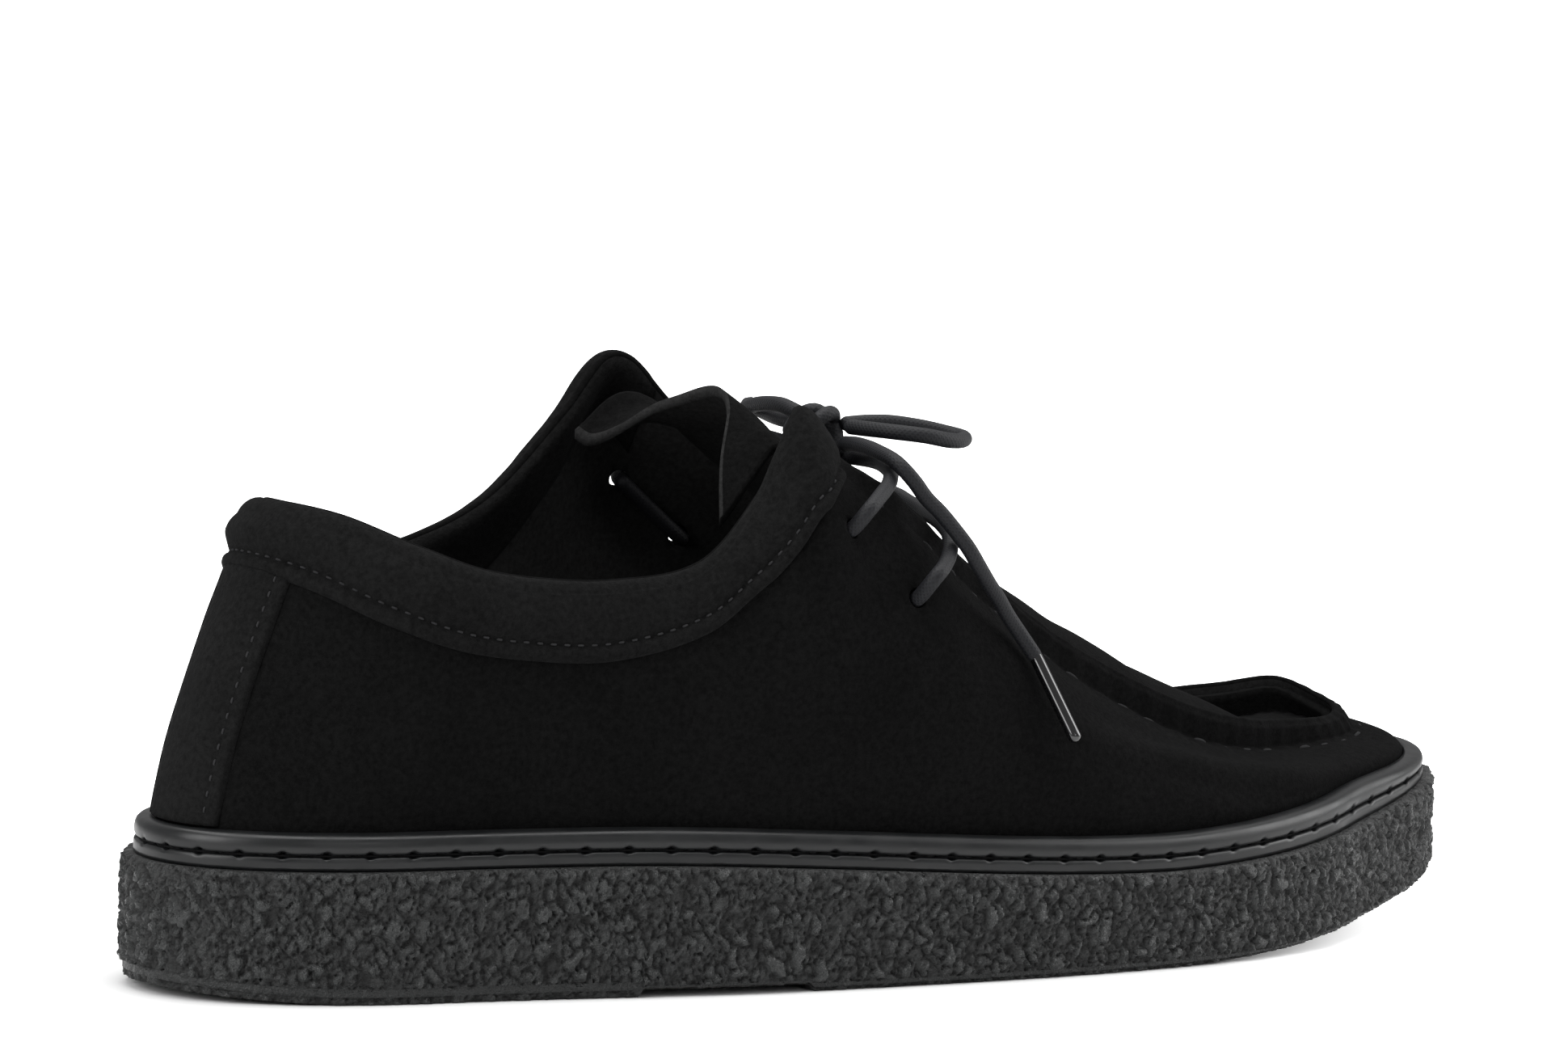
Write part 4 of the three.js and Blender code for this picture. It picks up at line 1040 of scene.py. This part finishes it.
def archHeight(x, y):
    depth = wall + gap + apron["thickness"]
    shares = np.linspace(0, 0.5, 4001)
    ats = np.interp(x.ravel(), outlineAt(shares)[:, 0], shares)
    outer = besideWall(ats, [lipShare], -depth)[:, 0]
    inner = besideWall(1 - ats, [lipShare], -depth)[:, 0]
    flat = y.ravel()
    centre = (outer[:, 1] + inner[:, 1]) / 2
    side = np.where((flat < centre)[:, None], outer, inner)
    across = np.clip((flat - centre) / (side[:, 1] - centre), 0, 1)
    top = crown(x.ravel()) - apron["thickness"]
    return mix(side[:, 2], top, np.cos(across * np.pi / 2)).reshape(x.shape)


def tongueFace(sides, alongs, depth):
    sideGrid, alongGrid = np.meshgrid(sides, alongs, indexing="ij")
    end = [follow(tongueRows, column, sideGrid) for column in (1, 2, 3)]
    x = mix(tongue["root"], end[0], alongGrid)
    y = mix(sideGrid * tongue["half"], end[1], alongGrid)
    bend = end[2] - archHeight(end[0], end[1]) + 3 * gap
    return np.stack([x, y, archHeight(x, y) - 3 * gap + bend * alongGrid**3 - depth], axis=-1)


def makeTongue():
    sides = np.linspace(-1, 1, tongue["sides"])
    alongs = np.linspace(0, 1, tongue["alongs"]) ** 0.8
    front = tongueFace(sides, alongs, 0.0)
    ripple = 0.5 * relief(front, 11.0, 7.0) * alongs[None, :]
    front[..., 2] += ripple
    back = tongueFace(sides, alongs, tongue["thickness"])
    back[..., 2] += ripple
    grid = np.concatenate([front, back[:, ::-1]], axis=1)
    edge = tongue["alongs"] - 1
    kinds = np.zeros(grid.shape[1], dtype=int)
    kinds[edge:] = 2
    kinds[edge - 1 : edge + 2] = 1
    piece = meshFromGrid("tongue_skin", grid, False, True, True, kinds)
    faceOutwards(piece)
    finishPiece(piece, (suede, edgeSuede, lining), "suede", "tongue")
    print("tongue made")


makeTongue()

# Short stitches, each a small capsule that dips in at its ends.
# Rows: place along it as a share of the length, then the radius and the rise as shares of the radius.
stitchRows = [
    (-0.5, 0.35, -0.9), (-0.42, 0.85, -0.3), (-0.2, 1, 0.1), (0.2, 1, 0.1),
    (0.42, 0.85, -0.3), (0.5, 0.35, -0.9),
]


def makeStitches(name, lines, length, radius, material, slotName):
    spots = []
    faces = []
    sides = 6
    angles = 2 * math.pi * np.arange(sides)[:, None] / sides
    for place, along, normal in lines:
        along = along / np.linalg.norm(along)
        circle = np.cross(normal, along) * np.cos(angles) + normal * np.sin(angles)
        first = len(spots)
        for share, wide, rise in stitchRows:
            centre = place + along * share * length + normal * rise * radius
            spots += ((centre + circle * radius * wide) * mm).tolist()
        for a in range(first, len(spots) - sides):
            b = a - sides + 1 if (a - first) % sides == sides - 1 else a + 1
            faces.append((a, b, b + sides, a + sides))
        faces.append(list(range(first, first + sides)))
        faces.append(list(range(len(spots) - 1, len(spots) - sides - 1, -1)))
    mesh = bpy.data.meshes.new(name)
    mesh.from_pydata(spots, [], faces)
    mesh.shade_smooth()
    piece = addObject(name, mesh)
    faceOutwards(piece)
    return finishPiece(piece, material, slotName)


# Welt: rolled bead, stitched groove and smooth lower band.
weltSkin = {
    "stations": 1300,
    "stitchPitch": 8.6,
    "stitchGap": 1.6,
    "notch": 0.6,
    "groove": 0.42,
    "threadInset": 1.0,
    "thread": 0.28,
    "seat": 0.1,
}
# Section of the welt: share of the width inwards and share of the height.
weltProfile = [
    (0, 0.02), (0, 0.12), (0, 0.24), (0.01, 0.33), (0.04, 0.365), (0.13, 0.39), (0.3, 0.405), (0.34, 0.42),
    (0.3, 0.435), (0.13, 0.45), (0.06, 0.48), (0.02, 0.55), (0.01, 0.66), (0.04, 0.78), (0.11, 0.88),
    (0.24, 0.95), (0.4, 0.985), (0.56, 1), (0.78, 1), (1, 1), (1, 0.6), (1, 0.02), (0.5, 0.02),
]


def makeWelt():
    ats = np.arange(weltSkin["stations"]) / weltSkin["stations"]
    spot, inward = station(ats)
    x = spot[:, 0]
    along = ats * perimeter
    pitch = perimeter / round(perimeter / weltSkin["stitchPitch"])
    phase = np.abs((along / pitch) % 1 - 0.5) * pitch
    notch = np.exp(-((phase / weltSkin["notch"]) ** 2))
    columns = []
    for share, up in weltProfile:
        inset = welt["setback"] + share * welt["width"]
        height = soleTop(x) + np.maximum(up * weltAt(x), weltSkin["seat"])
        if 0.35 < up < 0.49 and share < 0.5:
            inset = inset + 0.65 * notch
            height = height + np.sign(up - weltSkin["groove"]) * 0.35 * notch
        columns.append(insideOutline(spot, inward, inset, height))
    piece = meshFromGrid("welt_skin", np.stack(columns, axis=1), True, True)
    faceOutwards(piece)
    finishPiece(piece, weltRubber, "welt_rubber", "welt")
    middles = (np.arange(round(perimeter / weltSkin["stitchPitch"])) + 0.5) * pitch / perimeter
    spot, inward = station(middles)
    inset = welt["setback"] + weltSkin["threadInset"]
    height = soleTop(spot[:, 0]) + weltSkin["groove"] * weltAt(spot[:, 0])
    place = insideOutline(spot, inward, inset, height)
    ahead, _ = station(middles + 0.002)
    behind, _ = station(middles - 0.002)
    rise = soleTop(ahead[:, 0]) - soleTop(behind[:, 0])
    rise += weltSkin["groove"] * (weltAt(ahead[:, 0]) - weltAt(behind[:, 0]))
    along = np.column_stack([ahead - behind, rise])
    outward = np.column_stack([-inward, np.zeros(len(middles))])
    length = pitch - weltSkin["stitchGap"]
    makeStitches(
        "welt_stitches", zip(place, along, outward), length, weltSkin["thread"], weltThread, "welt_rubber"
    )
    print("welt made", len(piece.data.polygons))


makeWelt()

# Sole unit: a wall of pressed crumb over the thin treads.
crumb = {"stations": 1500, "rows": 42, "grain": 2.3, "depth": 1.9}


def treadAt(x):
    front = np.clip((x - 60) / 20, 0, 1)
    back = np.where(x < sole["archStart"], sole["heelTread"], sole["treadStep"])
    return np.where(x > sole["archEnd"], mix(sole["ballTread"], 0.9, front), back)


# Height of the pressed grains at a place, from about 0 in the pits to 1.
def grainHeight(place, size):
    spot = Vector(place) / size
    spot.z *= 0.75
    spot += noise.noise_vector(spot * 0.8) * 0.6
    distances, points = noise.voronoi(spot, distance_metric="DISTANCE")
    own = abs(noise.noise(points[0] * 5.7 + Vector((0.37, 0.21, 0.53)))) * 2
    edge = min((distances[1] - distances[0]) / 0.2, 1.0)
    return (0.35 + 0.65 * min(own, 1.0)) * edge


def makeOutsole():
    ats = np.arange(crumb["stations"]) / crumb["stations"]
    spot, inward = station(ats)
    x = spot[:, 0]
    inArch = smooth((x - sole["archStart"] + 0.6) / 1.2) * smooth((sole["archEnd"] + 0.6 - x) / 1.2)
    low = soleBottom(x) + sole["archLift"] * inArch
    tread = low + treadAt(x)
    high = soleTop(x)
    step = sole["treadStep"]
    # Each row of the section: inset, height, strength of the grains, and tone where it is smooth.
    rows = [(6.0, low, 0.0, 0.0), (step + 1.2, low, 0.0, 0.0)]
    for share in (0.0, 0.12, 0.24, 0.36, 0.44):
        rows.append((step + 0.35, mix(low + 0.1, tread, share), 0.45, 0.1))
    for share in (0.5, 0.75, 1.0):
        rows.append((step, mix(low, tread, share), 0.08, 0.62))
    first = len(rows)
    for share in np.linspace(0, 1, crumb["rows"]):
        inset = 0.3 * (1 - smooth(share / 0.08)) + 0.25 * smooth((share - 0.94) / 0.06)
        rows.append((inset, mix(tread + 0.15, high - 0.4, share), 1.0, 0.0))
    rows += [(1.2, high, 0.5, 0.5), (3.2, high, 0.0, 0.5), (9.0, high - 0.4, 0.0, 0.5)]
    grid = np.stack([insideOutline(spot, inward, inset, height) for inset, height, *_ in rows], axis=1)
    strengths = np.array([row[2] for row in rows])
    tones = np.array([row[3] for row in rows])
    outward = np.column_stack([-inward, np.zeros(len(ats))])
    size = crumb["grain"]
    heights = [
        0.72 * grainHeight(place, size) + 0.4 * grainHeight(place + 31.0, 0.5 * size)
        for place in grid.reshape(-1, 3)
    ]
    heights = np.minimum(np.reshape(heights, grid.shape[:2]), 0.85)
    push = (heights - 0.52) * strengths * crumb["depth"]
    push[:, first:] -= 0.15 * strengths[first:]
    grid += outward[:, None] * push[..., None]
    # Colour value: on the grains their height, which the crumb material turns into painted shade in the pits;
    # elsewhere the tone of the smooth rubber.
    toneAndPitShade = mix(tones[None, :], heights, np.clip(strengths * 1.6, 0, 1)[None, :])
    piece = meshFromGrid("crumb_sole", grid, True, False)
    layer = piece.data.attributes.new("grain height", "FLOAT", "POINT")
    layer.data.foreach_set("value", toneAndPitShade.astype(np.float32).ravel())
    pickOnly(piece)
    bpy.ops.object.mode_set(mode="EDIT")
    bpy.ops.mesh.select_all(action="DESELECT")
    bpy.ops.mesh.select_mode(type="EDGE")
    bpy.ops.mesh.select_non_manifold()
    bpy.ops.mesh.edge_face_add()
    bpy.ops.mesh.select_mode(type="VERT")
    bpy.ops.object.mode_set(mode="OBJECT")
    faceOutwards(piece)
    finishPiece(piece, crumbRubber, "crumb_rubber", "outsole")
    print("sole made", len(piece.data.polygons))


makeOutsole()


# Stitch places spaced evenly along a line on the wall.
def stitchPlaces(ats, ups, lift, pitch):
    line = besideWall(ats, ups[:, None], lift)[:, 0]
    normals = wallNormals(ats, ups[:, None])[:, 0]
    run = runOf(line)
    spots = np.arange(pitch / 2, run[-1], pitch)
    place = placesAt(spots, run, line)
    return list(zip(place, placesAt(spots + 0.3, run, line) - place, unit(placesAt(spots, run, normals))))


def makeSeams():
    ats = np.linspace(-0.212, 0.212, 420)
    ups = upsBelow(ats, bandDrop(ats) - band["stitch"])
    makeStitches("collar_stitches", stitchPlaces(ats, ups, 1.15, 2.7), 1.2, 0.24, seamThread, "suede")
    rows = []
    for sign in (-1, 1):
        at = sign * (strip["half"] - strip["stitch"]) / perimeter
        column = np.linspace(0.14, upsBelow([at], bandDrop([at]) - 1.0)[0], 70)
        rows += stitchPlaces(np.full(70, at), column, 1.2, 3.0)
    makeStitches("heel_stitches", rows, 1.2, 0.24, seamThread, "suede")
    rows = []
    for start, end in ((0.212, 0.494), (0.506, 0.788)):
        ats = np.linspace(start, end, 420)
        rows += stitchPlaces(ats, upsBelow(ats, 6.4), 0.0, upper["puckerPitch"])
    sinks = 0.2 * (1 + np.sin(2.4 * np.arange(len(rows))))
    rows = [(place - normal * sink, along, normal) for sink, (place, along, normal) in zip(sinks, rows)]
    makeStitches("ridge_stitches", rows, 3.6, 0.38, ridgeThread, "suede")
    print("stitches made")


makeSeams()

# Insole: the carried solid with its own lining leather.
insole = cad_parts["insole"]
insole.data.materials.clear()
insole.data.materials.append(lining)


# Pale studio floor and soft lights: broad ones above, behind the heel and before the toe.
def makeStage():
    bpy.ops.object.select_all(action="DESELECT")
    bpy.ops.mesh.primitive_plane_add(size=12, location=(0, 0, 0))
    floor = bpy.context.active_object
    floor.name = "floor"
    material, tree, shader, place = newMaterial("white floor", "#f4f4f4", 0.9, 0.1)
    # Away from the shoe the floor glows as white to the camera as the backdrop. The glow is centred towards
    # the heel, so it is painted light over the shoe's shadow before the toe, while the shadow at the heel
    # stays.
    spots = {0: place, 1: (-0.07, 0, 0)}
    away = addNode(tree, "VectorMath", spots, operation="DISTANCE").outputs["Value"]
    far = addNode(tree, "MapRange", {"Value": away, "From Min": 0.14, "From Max": 0.21})
    seen = addNode(tree, "LightPath", {}).outputs["Is Camera Ray"]
    glow = addNode(tree, "Math", {0: far, 1: seen}, operation="MULTIPLY")
    setInputs(tree, shader, {"Emission Strength": glow, "Emission Color": (1, 1, 1, 1)})
    floor.data.materials.append(material)
    world = bpy.data.worlds.new("studio")
    world.use_nodes = True
    sky = world.node_tree
    seen = addNode(sky, "LightPath", {}).outputs["Is Camera Ray"]
    strength = addNode(sky, "MapRange", {"Value": seen, "To Min": 0.35})
    setInputs(sky, sky.nodes["Background"], {"Color": (1, 1, 1, 1), "Strength": strength})
    bpy.context.scene.world = world
    for name, place, size, power in (
        ("above", (0.1, 0.15, 1.7), 1.8, 38),
        ("behind_heel", (-1.7, -0.2, 0.9), 1.2, 22),
        ("before_toe", (1.7, -0.5, 0.8), 1.2, 19),
        ("front", (-0.4, -2.6, 1.2), 1.0, 5),
    ):
        lamp = bpy.data.lights.new(name, "AREA")
        lamp.energy = power
        lamp.size = size
        piece = addObject(name, lamp)
        piece.location = place
        aim = Vector((0, 0, 0.05)) - piece.location
        piece.rotation_euler = aim.to_track_quat("-Z", "Y").to_euler()
    bpy.context.scene.view_settings.view_transform = "Standard"
    print("stage made")


makeStage()
